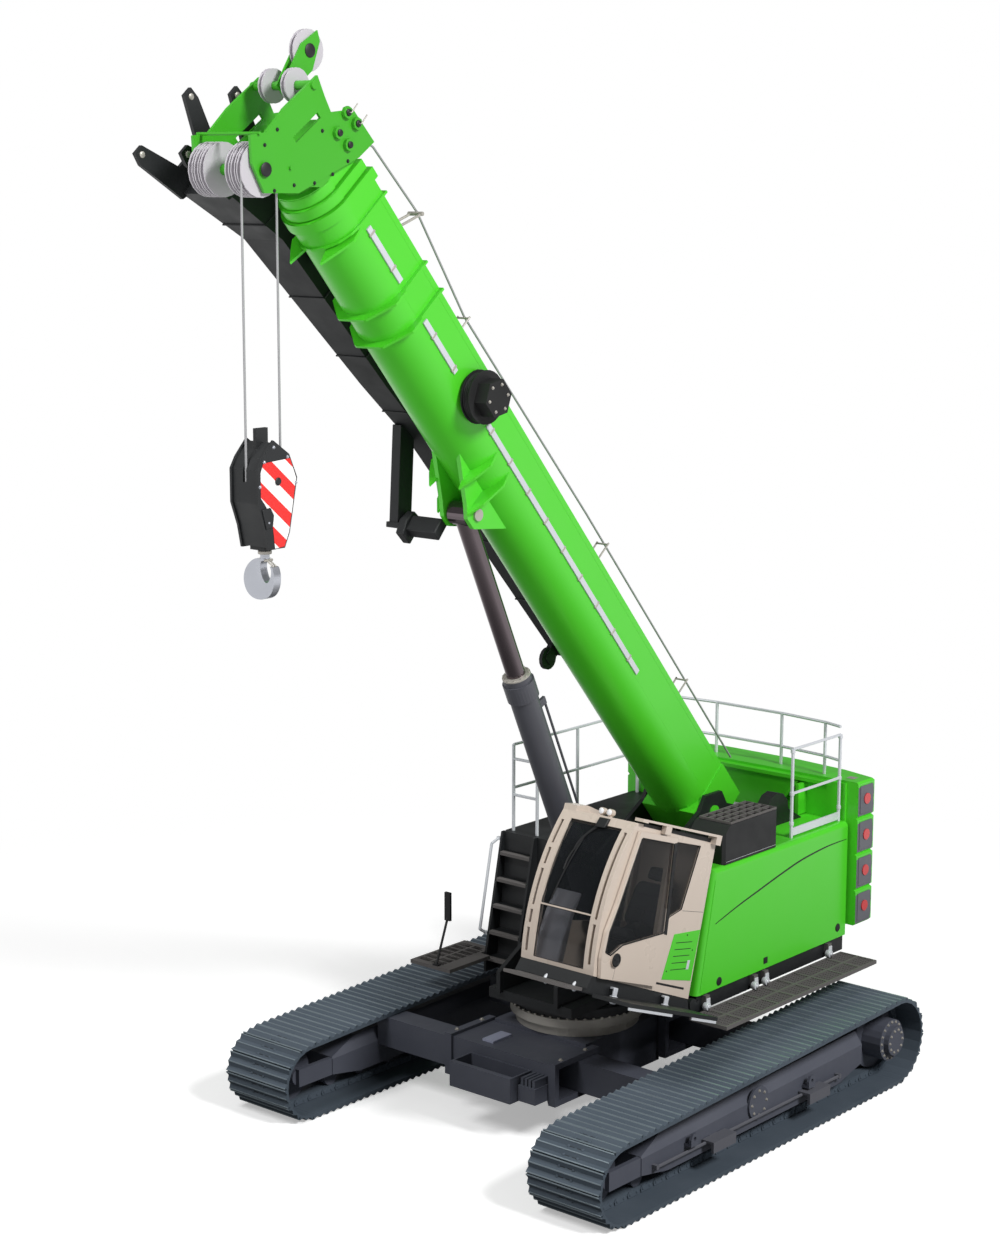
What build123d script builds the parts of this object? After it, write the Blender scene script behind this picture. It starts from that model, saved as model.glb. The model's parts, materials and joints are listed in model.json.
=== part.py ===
from build123d import *
from math import atan2, cos, degrees, hypot, pi, radians, sin, sqrt
import os

# Crawler crane with a four-part telescopic boom, millimetres.
# X runs to the machine's left, Y to its rear, Z up. The origin is on the ground under the slew axis.

# Clearances
run_gap = 0.3
pin_fit = 0.05
move_gap = 8.0

# Tracks
overall_width = 5000.0
shoe_width = 880.0
shoe_count = 60
shoe_plate = 16.0
grouser_height = 26.0
front_wheel_y, front_wrap_r = -2380.0, 420.0
rear_wheel_y, rear_wrap_r = 2480.0, 490.0
chain_depth = 95.0
shoe_seat = 16.0
chain_width = 260.0
track_centre_x = overall_width / 2 - shoe_width / 2
roller_count, roller_r, roller_length = 9, 95.0, 240.0
roller_first_y, roller_last_y = -1800.0, 1800.0
fork_x, fork_thick, fork_height = 220.3, 50.0, 190.0
frame_half_x = 280.0
frame_front_y, frame_rear_y = -1930.0, 1960.0
frame_low_z, frame_top_z = 255.0, 690.0
drive_hub_r, drive_hub_length, drive_cover_r = 230.0, 240.0, 160.0
frame_cover_r, frame_cover_z, frame_cover_thick = 175.0, 500.0, 24.0
eye_r, eye_thick, eye_gap, eye_half_y = 22.0, 30.0, 60.0, 60.0
eye_foot, eye_rise = 75.0, 55.0
eye_places = ((-1190.0, 500.0), (870.0, 500.0))
step_places = (-770.0, 930.0)
step_length, step_low_z = 380.0, 330.0
bar_r = 17.0

# Carbody
carbody_half_x, carbody_half_y = 750.0, 1260.0
carbody_low_z, carbody_top_z = 360.0, 880.0
beam_width, beam_low_z, beam_top_z = 285.0, 480.0, 810.0
beam_inner_end = 200.0
beam_split_gap = 24.0
tube_wall = 30.0
collar_length, collar_rim = 90.0, 32.0
drum_r, drum_low_z = 620.0, 300.0
drum_opening_r, drum_opening_depth = 460.0, 80.0
tool_box_width, tool_box_depth, tool_box_height = 820.0, 340.0, 270.0
tool_box_z, tool_box_wall = 590.0, 20.0
valve_x0, valve_x1, valve_depth = 420.0, 650.0, 230.0
lashing_r, lashing_thick, lashing_in, lashing_drop = 30.0, 40.0, 130.0, 40.0
lashing_outline = ((-90.0, 20.0), (90.0, 20.0), (60.0, -90.0), (-60.0, -90.0))

# Slew ring
ring_r, ring_neck_r = 720.0, 660.0
ring_low_z, ring_split_z, ring_top_z = 880.0, 1080.0, 1180.0
ring_flange = 90.0
ring_upper_r = 690.0

# Upper carriage
deck_box_x, deck_front_y, deck_rear_y = 560.0, -800.0, 2900.0
deck_thick = 110.0
wing_left_y, wing_height, wing_left_x = 130.0, 180.0, 1465.0
panel_x = 1500.0
hood_inner_x = 820.0
hood_low_z, hood_top_z = 1400.0, 2700.0
hood_front_low_y, hood_front_top_y, hood_rear_y = 90.0, 370.0, 2895.0
hood_edge_r = 60.0
sheet = 12.0
engine_x, engine_y, engine_width, engine_length = 1150.0, 1900.0, 480.0, 1500.0
engine_low_z, engine_top_z = 1400.0, 2350.0
air_y0, air_y1, air_x0, air_x1 = 560.0, 1540.0, 1040.0, 1480.0
air_box_top_z = 3110.0
grille_thick, grille_margin, grille_bar = 24.0, 22.0, 20.0
grille_columns, grille_rows = 4, 6
cowl_x0, cowl_x1, cowl_y, cowl_r = 860.0, 1000.0, 2240.0, 220.0
right_x, right_inner_x, right_front_y, right_top_z = -1480.0, -620.0, 520.0, 2560.0
door_groove, groove_depth = 10.0, 6.0
ladder_x0, ladder_x1, ladder_low_z = -1480.0, -1000.0, 1010.0
ladder_front_y, ladder_steps, ladder_pitch = 180.0, 5, 290.0
ladder_cheek = 30.0
tilt_y, tilt_z, tilt_pin_r = 50.0, 1330.0, 30.0
hinge_lug_x = (1485.0, 640.0)
hinge_lug_thick, hinge_barrel_r = 40.0, 48.0
walkway_z, walkway_thick = 1195.0, 40.0
walkway_x0, walkway_x1 = 1520.0, 1990.0
walkway_front_y, walkway_rear_y = -60.0, 2780.0

# Counterweight and tail
slab_count, slab_pitch = 4, 410.0
slab_low_z = 1510.0
slab_front_y, slab_side_depth, slab_middle_depth = 2930.6, 330.0, 520.0
slab_half_x = 1600.0
slab_edge = 22.0
cap_thick, lamp_r, lamp_thick = 8.0, 62.0, 10.0
tail_wall_y, tail_wall_thick, tail_wall_top_z = 2900.3, 30.0, 3120.0
tail_half_x = 1450.0
shelf_half_x = 700.0
winch_places = ((2330.0, 1920.0), (2645.0, 2540.0))
winch_flange_r, winch_drum_r, winch_axle_r = 235.0, 170.0, 55.0
winch_half_x, winch_flange = 330.0, 40.0
rail_r, post_r = 17.0, 20.0
rail_height = 980.0

# Boom, laid out from the rear top edge of its base
boom_angle = 49.2
boom_y, boom_z = 2438.0, 2924.0
boom_half_width = 340.0
boom_flat_depth = 400.0
boom_wall = 12.0
boom_bends = 8
section_step = 34.0
section_count = 4
section_start, section_stagger = 480.0, 60.0
base_length = 9080.0
tip_collar, tip_rim, tip_guide, tip_pad = 110.0, 30.0, 300.0, 160.0
pad_gap = 0.4
foot_block, foot_half_x, foot_depth = 520.0, 354.0, 700.0
pivot_s, pivot_u = 300.0, -500.0
pivot_pin_r = 80.0
foot_ear_gap = 10.0
foot_ear_thick = 50.0
rib_s, rib_pitch, rib_thick, rib_height = 7620.0, 340.0, 22.0, 45.0
horn_places = ((5600.0, 1020.0), (5880.0, 930.0), (8740.0, 900.0))
horn_thick, horn_tip_u = 24.0, -430.0
guide_places = (6930.0, 3650.0, 1450.0)
strip_runs = ((2510.0, 6200.0), (6900.0, 7560.0), (8050.0, 8700.0))
strip_width, strip_thick, strip_u = 60.0, 16.0, -350.0
reel_s, reel_u, reel_r, reel_thick = 6520.0, -290.0, 260.0, 110.0
reel_cover_r, reel_cover_thick = 190.0, 150.0

# Boom head
head_tube_end = 9560.0
head_plate_x, head_plate_thick, lug_reach = 370.0, 30.0, 34.0
axle_r = 50.0
sheave_r, groove_r, sheave_width, sheave_pitch = 235.0, 195.0, 56.0, 72.0
sheave_count, first_sheave_x = 6, 300.0
sheave_s, sheave_u = 9930.0, -1000.0
sheave_sides, sheave_block_gap = 20, 240.0
top_sheave_r, top_groove_r = 150.0, 125.0
top_sheave_places = ((10080.0, -70.0, -140.0), (10080.0, -70.0, 140.0))
rooster_s, rooster_u, rooster_x, rooster_r = 10140.0, 330.0, 20.0, 185.0
jib_pin_r = 32.0

# Lift cylinder
rod_pin_s, rod_pin_u = 5500.0, -900.0
foot_y, foot_z = 300.0, 1900.0
barrel_r, barrel_length = 150.0, 3150.0
gland_r, gland_length = 168.0, 260.0
rod_r, rod_length = 100.0, 3300.0
lift_pin_r = 60.0
lift_eye_r, lift_eye_half_x = 120.0, 110.0
boom_ear_x, boom_ear_thick = 130.0, 50.0
frame_ear_x, frame_ear_thick = 178.0, 50.0

# Fly jib
jib_inner_x, jib_outer_x = -510.0, -1150.0
jib_fork_s, jib_fork_thick = 10070.0, 40.0
jib_sections = (
    (9500.0, -1120.0, -830.0, -230.0),
    (8750.0, -1020.0, -600.0, -220.0),
    (6800.0, -850.0, -500.0, -230.0),
    (6000.0, -780.0, -430.0, -240.0),
    (2700.0, -630.0, -430.0, -290.0),
)
jib_brackets = (4200.0, 8400.0)

# Cab, tilted back on its bracket
cab_tilt = 20.0
cab_y, cab_z = -60.0, 1420.0
cab_right_x, cab_left_x = 580.0, 1500.0
cab_wall = 45.0
cab_length, cab_height = 1700.0, 1650.0
cab_bulge, cab_bulge_w = 1775.0, 780.0
cab_front_low, cab_front_high, cab_front_top = 70.0, 1620.0, 1550.0
pillar_left, pillar_right = 130.0, 150.0
pane_low, pane_split, pane_high, pane_bar = 110.0, 640.0, 1530.0, 16.0
slot_width = 34.0
glass_thick = 6.0
door_thick = 40.0
door_rail_x = 45.0
visor_width = 160.0
roof_lamp_r = 36.0

# Hoist
rope_r = 11.0
block_top_z, block_low_z, block_axis_z = 7490.0, 6540.0, 7130.0
block_half_x, cheek_thick = 175.0, 26.0
hook_shank_r, hook_thick = 42.0, 84.0


def turned(forward, up, angle):
    """Y and Z of a step forward and up along lines raised by an angle."""
    a = radians(angle)
    return -forward * cos(a) + up * sin(a), forward * sin(a) + up * cos(a)


def side(x=0.0, y=0.0, z=0.0, angle=0.0):
    """Side view plane: its x runs forward, its y up, and what is extruded goes to the right."""
    a = radians(angle)
    return Plane(origin=(x, y, z), x_dir=(0, -cos(a), sin(a)), z_dir=(-1, 0, 0))


def boom_side(x=0.0):
    """Side view plane of the boom: distance along it, then height from its top face."""
    return side(x, boom_y, boom_z, boom_angle)


def boom_cut(s):
    """Plane square to the boom at a distance along it."""
    dy, dz = turned(s, 0, boom_angle)
    a = radians(boom_angle)
    return Plane(origin=(0, boom_y + dy, boom_z + dz), x_dir=(1, 0, 0), z_dir=(0, -cos(a), sin(a)))


def boom_point(s, u):
    """Y and Z of a place on the boom."""
    dy, dz = turned(s, u, boom_angle)
    return boom_y + dy, boom_z + dz


def cab_side(x=0.0):
    """Side view plane of the cab: distance ahead of its rear lower corner, then height."""
    return side(x, cab_y, cab_z, cab_tilt)


def save(part, name):
    """Give a finished piece its name and write it."""
    part.label = name
    export_step(part, f"parts/{name}.step")


def plate(plane, points, thick, mode=Mode.ADD):
    """Straight-sided plate of an outline drawn on a plane."""
    with BuildSketch(plane) as outline:
        with BuildLine():
            Polyline(*points, close=True)
        make_face()
    extrude(outline.sketch, amount=thick, mode=mode)


def set_in(points, gap):
    """Outline with each of its sides moved inwards by a gap."""
    points = list(points)
    after = points[1:] + points[:1]
    area = sum(a[0] * b[1] - b[0] * a[1] for a, b in zip(points, after))
    inwards = pi / 2 if area > 0 else -pi / 2
    moved = []
    for before, here, ahead in zip(points[-1:] + points[:-1], points, after):
        first = atan2(here[1] - before[1], here[0] - before[0])
        bend = (atan2(ahead[1] - here[1], ahead[0] - here[0]) - first + pi) % (2 * pi) - pi
        t = first + bend / 2 + inwards
        step = gap / cos(bend / 2)
        moved.append((here[0] + step * cos(t), here[1] + step * sin(t)))
    return moved


def disc(plane, radius, thick, sides=0, mode=Mode.ADD):
    """Round plate on a plane, or one with flat sides."""
    with BuildSketch(plane) as round_face:
        if sides:
            RegularPolygon(radius, sides)
        else:
            Circle(radius)
    extrude(round_face.sketch, amount=thick, mode=mode)


def block(x0, x1, y0, y1, z0, z1, mode=Mode.ADD):
    """Upright block between six faces."""
    with Locations(((x0 + x1) / 2, (y0 + y1) / 2, (z0 + z1) / 2)):
        Box(abs(x1 - x0), abs(y1 - y0), abs(z1 - z0), mode=mode)


def bar(start, end, radius, sides=6):
    """Straight tube or rod between two places."""
    run = Vector(*end) - Vector(*start)
    disc(Plane(origin=start, z_dir=run), radius, run.length, sides)


os.makedirs("parts", exist_ok=True)

# Carbody: two cross tubes that take the beams, a centre box and the drum under the ring
tube_outer = carbody_half_y - tube_wall - run_gap
tube_inner = tube_outer - 2 * beam_width - beam_split_gap
tube_depth = tube_outer - tube_inner + 2 * run_gap + 2 * tube_wall
tube_y = (tube_outer + tube_inner) / 2
tube_height = beam_top_z - beam_low_z + 2 * run_gap + 2 * tube_wall
beam_z = (beam_low_z + beam_top_z) / 2
lashing_x, lashing_z = carbody_half_x - 150.0, beam_low_z - tube_wall
with BuildPart() as carbody:
    with Locations((0, tube_y, beam_z), (0, -tube_y, beam_z)):
        Box(2 * carbody_half_x, tube_depth, tube_height)
        for end in (-1, 1):
            with Locations((end * (carbody_half_x - collar_length / 2), 0, 0)):
                Box(collar_length, tube_depth + 2 * collar_rim, tube_height + 2 * collar_rim)
    inner = tube_inner - tube_wall
    block(-drum_r, drum_r, -inner - tube_wall, inner + tube_wall, carbody_low_z, carbody_top_z)
    disc(Plane.XY.offset(drum_low_z), drum_r, ring_low_z - drum_low_z, 36)
    with Locations((0, tube_y, beam_z), (0, -tube_y, beam_z)):
        Box(
            2 * carbody_half_x + 10,
            tube_depth - 2 * tube_wall,
            tube_height - 2 * tube_wall,
            mode=Mode.SUBTRACT,
        )
    disc(Plane.XY.offset(drum_low_z), drum_opening_r, drum_opening_depth, 24, Mode.SUBTRACT)
    for x in (-1, 1):
        for y in (-1, 1):
            eye_y = y * (carbody_half_y - lashing_in)
            plate(
                Plane(origin=(x * lashing_x, eye_y + lashing_thick / 2, lashing_z), x_dir=(1, 0, 0), z_dir=(0, -1, 0)),
                lashing_outline,
                lashing_thick,
            )
            with Locations((x * lashing_x, eye_y, lashing_z - lashing_drop)):
                Cylinder(lashing_r, lashing_thick + 2, rotation=(90, 0, 0), mode=Mode.SUBTRACT)
save(carbody.part, "carbody")

# Light step plates on top of the cross tubes, before and behind the ring
tube_top_z = beam_z + tube_height / 2
with BuildPart() as carbody_steps:
    for y in (-1, 1):
        block(-340, -190, y * 860, y * 1160, tube_top_z + run_gap, tube_top_z + 24)
save(carbody_steps.part, "carbody_steps")

# Lower half of the slew ring: a neck and a flange
with BuildPart() as slew_ring:
    disc(Plane.XY.offset(ring_low_z), ring_neck_r, ring_split_z - ring_low_z - ring_flange + 10, 36)
    disc(Plane.XY.offset(ring_split_z - ring_flange), ring_r, ring_flange)
save(slew_ring.part, "slew_ring")

# Open tool box on the front of the carbody, with the valve block beside it
front_face = -carbody_half_y
with BuildPart() as front_box:
    block(
        -tool_box_width / 2, tool_box_width / 2, front_face - tool_box_depth, front_face,
        tool_box_z - tool_box_height / 2, tool_box_z + tool_box_height / 2,
    )
    block(
        -tool_box_width / 2 + tool_box_wall, tool_box_width / 2 - tool_box_wall,
        front_face - tool_box_depth + tool_box_wall, front_face - tool_box_wall,
        tool_box_z - tool_box_height / 2 + tool_box_wall, tool_box_z + tool_box_height / 2 - 40,
        Mode.SUBTRACT,
    )
    block(
        -tool_box_width / 2 + tool_box_wall, tool_box_width / 2 - tool_box_wall,
        front_face - tool_box_depth + 3 * tool_box_wall, front_face - tool_box_wall,
        tool_box_z, tool_box_z + tool_box_height / 2 + 1,
        Mode.SUBTRACT,
    )
    block(valve_x0, valve_x1, front_face - valve_depth, front_face, 470, 640)
    for i in range(4):
        x = valve_x0 + 25 + i * 50
        block(x, x + 34, front_face - valve_depth + 20, front_face, 640, 720)
save(front_box.part, "front_box")


def loop_points(inset):
    """The loop's two radii, set in from the shoe plates, and the tangent angle of the top run."""
    r1 = front_wrap_r - grouser_height - shoe_plate - inset
    r2 = rear_wrap_r - grouser_height - shoe_plate - inset
    dy, dz = rear_wheel_y - front_wheel_y, rear_wrap_r - front_wrap_r
    lean = atan2(dz, dy)
    top = lean + atan2(r2 - r1, sqrt(dy * dy + dz * dz - (r2 - r1) ** 2))
    return r1, r2, top


def on_loop(distance, inset=0.0):
    """Point on the loop at a distance from the foot of the front wheel, and the loop's length."""
    r1, r2, top = loop_points(inset)
    run = rear_wheel_y - front_wheel_y
    rise = rear_wrap_r - front_wrap_r
    rear_arc = r2 * (pi + top)
    top_run = sqrt(run * run + rise * rise - (r2 - r1) ** 2)
    front_arc = r1 * (pi - top)
    total = run + rear_arc + top_run + front_arc
    d = distance % total
    if d < run:
        return front_wheel_y + d, front_wrap_r - r1, total
    d -= run
    if d < rear_arc:
        t = d / r2
        return rear_wheel_y + r2 * sin(t), rear_wrap_r - r2 * cos(t), total
    d -= rear_arc
    turn = pi + top
    if d < top_run:
        y0 = rear_wheel_y + r2 * sin(turn)
        z0 = rear_wrap_r - r2 * cos(turn)
        return y0 + d * cos(turn), z0 + d * sin(turn), total
    t = turn + (d - top_run) / r1
    return front_wheel_y + r1 * sin(t), front_wrap_r - r1 * cos(t), total


def shoe_outline():
    """Outer outline of the loop: each shoe has three ribs, and a notch parts it from the next."""
    total = on_loop(0.0)[2]
    pitch = total / shoe_count
    half = pitch / 2 - 5.0
    high = shoe_plate + grouser_height
    across = ((-half, high), (-half / 2, shoe_plate), (0.0, high), (half / 2, shoe_plate), (half, high))
    points = []
    for i in range(shoe_count):
        y0, z0 = on_loop(i * pitch)[:2]
        y1, z1 = on_loop((i + 1) * pitch)[:2]
        t = atan2(z1 - z0, y1 - y0)
        y, z = (y0 + y1) / 2, (z0 + z1) / 2
        points.append((y0, z0))
        for along, out in across:
            points.append((y + along * cos(t) + out * sin(t), z + along * sin(t) - out * cos(t)))
    return points


def wrap_face(inset, x):
    """Face of the loop's inside, drawn at x: two rounds and the quadrilateral between their tangents."""
    r1, r2, top = loop_points(inset)
    with BuildSketch(Plane(origin=(x, 0, 0), x_dir=(0, 1, 0), z_dir=(1, 0, 0))) as inside:
        with Locations((front_wheel_y, front_wrap_r)):
            RegularPolygon(r1, 24, major_radius=False)
        with Locations((rear_wheel_y, rear_wrap_r)):
            RegularPolygon(r2, 24, major_radius=False)
        with BuildLine():
            Polyline(
                (front_wheel_y, front_wrap_r - r1),
                (rear_wheel_y, rear_wrap_r - r2),
                (rear_wheel_y - r2 * sin(top), rear_wrap_r + r2 * cos(top)),
                (front_wheel_y - r1 * sin(top), front_wrap_r + r1 * cos(top)),
                close=True,
            )
        make_face()
    return inside.sketch


roller_z = shoe_plate + grouser_height + chain_depth + roller_r
roller_pitch = (roller_last_y - roller_first_y) / (roller_count - 1)
frame_outline = (
    (-frame_front_y, 330),
    (-frame_front_y, 520),
    (-frame_front_y - 430, frame_top_z - 50),
    (-frame_rear_y + 460, frame_top_z),
    (-frame_rear_y, frame_top_z + 10),
    (-frame_rear_y, frame_low_z + 105),
    (-frame_rear_y + 460, frame_low_z),
    (-frame_front_y - 430, frame_low_z),
)
near_outer, near_inner = tube_outer - beam_width / 2, tube_inner + beam_width / 2
for hand, name in ((1, "left"), (-1, "right")):
    centre = hand * track_centre_x
    outer_face = centre + hand * frame_half_x

    # Loop: shoe plates across the full width, chain links along the middle
    with BuildPart() as track_loop:
        with BuildSketch(Plane(origin=(centre - shoe_width / 2, 0, 0), x_dir=(0, 1, 0), z_dir=(1, 0, 0))):
            with BuildLine():
                Polyline(*shoe_outline(), close=True)
            make_face()
        extrude(amount=shoe_width)
        extrude(wrap_face(shoe_seat, centre - shoe_width / 2), amount=shoe_width, mode=Mode.SUBTRACT)
        extrude(wrap_face(shoe_seat - 1, centre - chain_width / 2), amount=chain_width)
        extrude(wrap_face(chain_depth, centre - chain_width / 2), amount=chain_width, mode=Mode.SUBTRACT)
    save(track_loop.part, f"track_loop_{name}")

    # Side frame between the wheels, its shoulders sloping, with the forks of the front wheel
    with BuildPart() as track_frame:
        plate(side(centre + frame_half_x), frame_outline, 2 * frame_half_x)
        ridge = [e for e in track_frame.edges() if e.length > 2500 and e.center().Z > frame_top_z - 60]
        chamfer(ridge, 90, 130)
        block(
            centre - roller_length / 2 - run_gap, centre + roller_length / 2 + run_gap,
            frame_front_y - 10, frame_rear_y + 10, 0, roller_z + roller_r + move_gap, Mode.SUBTRACT,
        )
        for x in (-1, 1):
            fork = centre + x * (fork_x + fork_thick / 2)
            block(
                fork - fork_thick / 2, fork + fork_thick / 2, front_wheel_y - 40, frame_front_y + 40,
                front_wrap_r - fork_height / 2, front_wrap_r + fork_height / 2,
            )
        plate(side(centre - hand * 125 + 34), ((-1900, 340), (-1900, 660), (-2380, 640), (-2560, 560), (-2560, 400)), 68)
        disc(
            Plane(origin=(outer_face, 0, frame_cover_z), x_dir=(0, 1, 0), z_dir=(hand, 0, 0)),
            frame_cover_r, frame_cover_thick, 20,
        )
        for y, z in eye_places:
            eye_x = outer_face + hand * (eye_gap + eye_thick / 2)
            low, high = sorted((outer_face - hand * 5, eye_x + hand * eye_thick / 2))
            block(low, high, y - eye_half_y, y + eye_half_y, z - eye_foot, z - eye_foot + eye_thick)
            plate(
                side(eye_x + eye_thick / 2),
                (
                    (-y - eye_half_y, z - eye_foot), (-y + eye_half_y, z - eye_foot), (-y + eye_half_y, z),
                    (-y + eye_rise / 2, z + eye_rise), (-y - eye_rise / 2, z + eye_rise), (-y - eye_half_y, z),
                ),
                eye_thick,
            )
            with Locations((eye_x, y, z)):
                Cylinder(eye_r, eye_thick + 2, rotation=(0, 90, 0), mode=Mode.SUBTRACT)
    save(track_frame.part, f"track_frame_{name}")

    # Fold-down steps and the long bar along the outer face of the frame
    bar_x = outer_face + hand * (frame_cover_thick + bar_r + 4)
    bar_z = step_low_z + 45
    with BuildPart() as steps:
        for y in step_places:
            low, high = sorted((outer_face + hand * run_gap, outer_face + hand * 30))
            block(low, high, y - 60, y + 60, step_low_z + 25, step_low_z + 74)
            low, high = sorted((outer_face + hand * 10, outer_face + hand * 152))
            block(low, high, y - step_length / 2, y + step_length / 2, step_low_z + 50, step_low_z + 74)
            low, high = sorted((outer_face + hand * 120, outer_face + hand * 152))
            block(low, high, y - step_length / 2, y + step_length / 2, step_low_z - 40, step_low_z + 60)
        for y0, y1 in zip((-1750, step_places[0] + 60, step_places[1] + 60), (step_places[0] - 60, step_places[1] - 60, 1450)):
            bar((bar_x, y0, bar_z), (bar_x, y1, bar_z), bar_r)
        for y in (-1750, 1450):
            low, high = sorted((outer_face + hand * run_gap, bar_x + hand * bar_r))
            block(low, high, y - 20, y + 20, bar_z - 22, bar_z + 22)
    save(steps.part, f"track_steps_{name}")

    # Cross beams that slide in the carbody, each with an end plate at the track frame
    near_front = -near_outer if hand < 0 else -near_inner
    near_rear = near_inner if hand < 0 else near_outer
    inner_face = track_centre_x - frame_half_x
    with BuildPart() as beams:
        for y in (near_front, near_rear):
            with Locations((hand * (inner_face - beam_inner_end) / 2, y, beam_z)):
                Box(inner_face + beam_inner_end, beam_width, beam_top_z - beam_low_z)
    save(beams.part, f"cross_beams_{name}")

    # Drive wheel: toothed rim, gearbox hub and round cover
    drive_r = rear_wrap_r - shoe_plate - grouser_height - chain_depth - run_gap
    across_plane = Plane(origin=(centre, rear_wheel_y, rear_wrap_r), x_dir=(0, 1, 0), z_dir=(hand, 0, 0))
    with BuildPart() as drive:
        disc(across_plane.offset(-90), drive_r / cos(pi / 24), 180, 24)
        disc(across_plane.offset(90), drive_hub_r, drive_hub_length, 20)
        disc(across_plane.offset(90 + drive_hub_length), drive_cover_r, 60, 20)
    save(drive.part, f"drive_wheel_{name}")

    # Front wheel with its raised middle and axle
    idler_r = front_wrap_r - shoe_plate - grouser_height - chain_depth - run_gap
    idler_plane = Plane(origin=(centre, front_wheel_y, front_wrap_r), x_dir=(0, 1, 0), z_dir=(hand, 0, 0))
    with BuildPart() as idler:
        disc(idler_plane.offset(-90), idler_r / cos(pi / 24), 180, 24)
        disc(idler_plane.offset(-220), 90, 440, 12)
    save(idler.part, f"idler_{name}")

    # Rollers under the frame
    with BuildPart() as rollers:
        for i in range(roller_count):
            y = roller_first_y + i * roller_pitch
            roller = Plane(origin=(centre - roller_length / 2, y, roller_z), x_dir=(0, 1, 0), z_dir=(1, 0, 0))
            disc(roller, roller_r, roller_length, 12)
    save(rollers.part, f"track_rollers_{name}")


# Upper frame: ring half, deck box, side wings, boom foot plates and the ears of the lift cylinder
pivot_y, pivot_z = boom_point(pivot_s, pivot_u)
ear_inner_x = foot_half_x + foot_ear_gap
wing_top_z = hood_low_z - run_gap
deck_top_z = ring_top_z + deck_thick
with BuildPart() as upper_frame:
    disc(Plane.XY.offset(ring_split_z + run_gap), ring_upper_r, ring_top_z - ring_split_z - run_gap)
    block(-deck_box_x, deck_box_x, deck_front_y, deck_rear_y, ring_top_z, deck_top_z)
    for x0, x1, y0 in (
        (deck_box_x, wing_left_x, wing_left_y),
        (right_x + 10, -deck_box_x, right_front_y + 5),
    ):
        block(x0, x1, y0, deck_rear_y, wing_top_z - wing_height, wing_top_z)
    for x in hinge_lug_x:
        plate(
            side(x),
            (
                (-tilt_y + 30, 1250),
                (-tilt_y + 60, tilt_z),
                (-tilt_y - 60, tilt_z),
                (-wing_left_y - 20, 1354),
                (-wing_left_y - 20, 1250),
            ),
            hinge_lug_thick,
        )
        disc(side(x, tilt_y, tilt_z), 60, hinge_lug_thick, 16)
        disc(side(x, tilt_y, tilt_z), tilt_pin_r, hinge_lug_thick, 0, Mode.SUBTRACT)
    for x in (-1, 1):
        ear = side(x * (ear_inner_x + foot_ear_thick / 2) + foot_ear_thick / 2)
        plate(
            ear,
            (
                (850, deck_top_z - 20),
                (850, deck_top_z + 210),
                (-pivot_y + 245, pivot_z + 60),
                (-pivot_y + 150, pivot_z + 215),
                (-pivot_y - 150, pivot_z + 215),
                (-pivot_y - 245, pivot_z + 60),
                (-2880, 2640),
                (-2880, deck_top_z - 20),
            ),
            foot_ear_thick,
        )
        lift_ear = side(x * (frame_ear_x + frame_ear_thick / 2) + frame_ear_thick / 2)
        plate(
            lift_ear,
            (
                (-foot_y + 220, deck_top_z - 20),
                (-foot_y + 110, foot_z),
                (-foot_y + 60, foot_z + 100),
                (-foot_y - 60, foot_z + 100),
                (-foot_y - 110, foot_z),
                (-foot_y - 700, deck_top_z - 20),
            ),
            frame_ear_thick,
        )
    disc(
        side(ear_inner_x + foot_ear_thick + 5, pivot_y, pivot_z), pivot_pin_r,
        2 * (ear_inner_x + foot_ear_thick + 5), 0, Mode.SUBTRACT,
    )
    block(-ear_inner_x, ear_inner_x, 2350, 2850, deck_top_z, deck_top_z + 340)
save(upper_frame.part, "upper_frame")

# Engine and pumps as one block inside the left hood
with BuildPart() as engine:
    block(
        engine_x - engine_width / 2, engine_x + engine_width / 2,
        engine_y - engine_length / 2, engine_y + engine_length / 2, engine_low_z, engine_top_z,
    )
    chamfer(engine.edges().filter_by(Axis.Y), 60)
save(engine.part, "engine_block")

# Left hood: the big side panel with its slanted front edge, closed at its ends and on top
with BuildPart() as left_hood:
    plate(
        side(panel_x),
        (
            (-hood_front_low_y, hood_low_z),
            (-hood_front_top_y, hood_top_z),
            (-hood_rear_y, hood_top_z),
            (-hood_rear_y, hood_low_z),
        ),
        panel_x - hood_inner_x,
    )
    rounded = [
        e for e in left_hood.edges()
        if e.center().X > panel_x - 1 and (e.center().Z > hood_top_z - 1 or e.center().Y < 1000)
        and e.center().Z > hood_low_z + 1
    ]
    fillet(rounded, hood_edge_r)
    offset(amount=-sheet, openings=left_hood.faces().sort_by(Axis.Z)[0])
save(left_hood.part, "left_hood")

# Air box on top of the hood, its lid set back for the grille
grille_x0, grille_x1 = air_x0 + 40, air_x1 - grille_margin
grille_y0, grille_y1 = air_y0 + 150, air_y1 - grille_margin
with BuildPart() as air_box:
    plate(
        side(air_x1),
        (
            (-air_y0, hood_top_z + run_gap),
            (-air_y0, air_box_top_z - 110),
            (-air_y0 - 100, air_box_top_z),
            (-air_y1, air_box_top_z),
            (-air_y1, hood_top_z + run_gap),
        ),
        air_x1 - air_x0,
    )
    chamfer(air_box.edges().filter_by(Axis.Z).group_by(Axis.X)[-1], 30)
    block(grille_x0, grille_x1, grille_y0, grille_y1, air_box_top_z - 90, air_box_top_z + 1, Mode.SUBTRACT)
save(air_box.part, "air_box")

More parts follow.
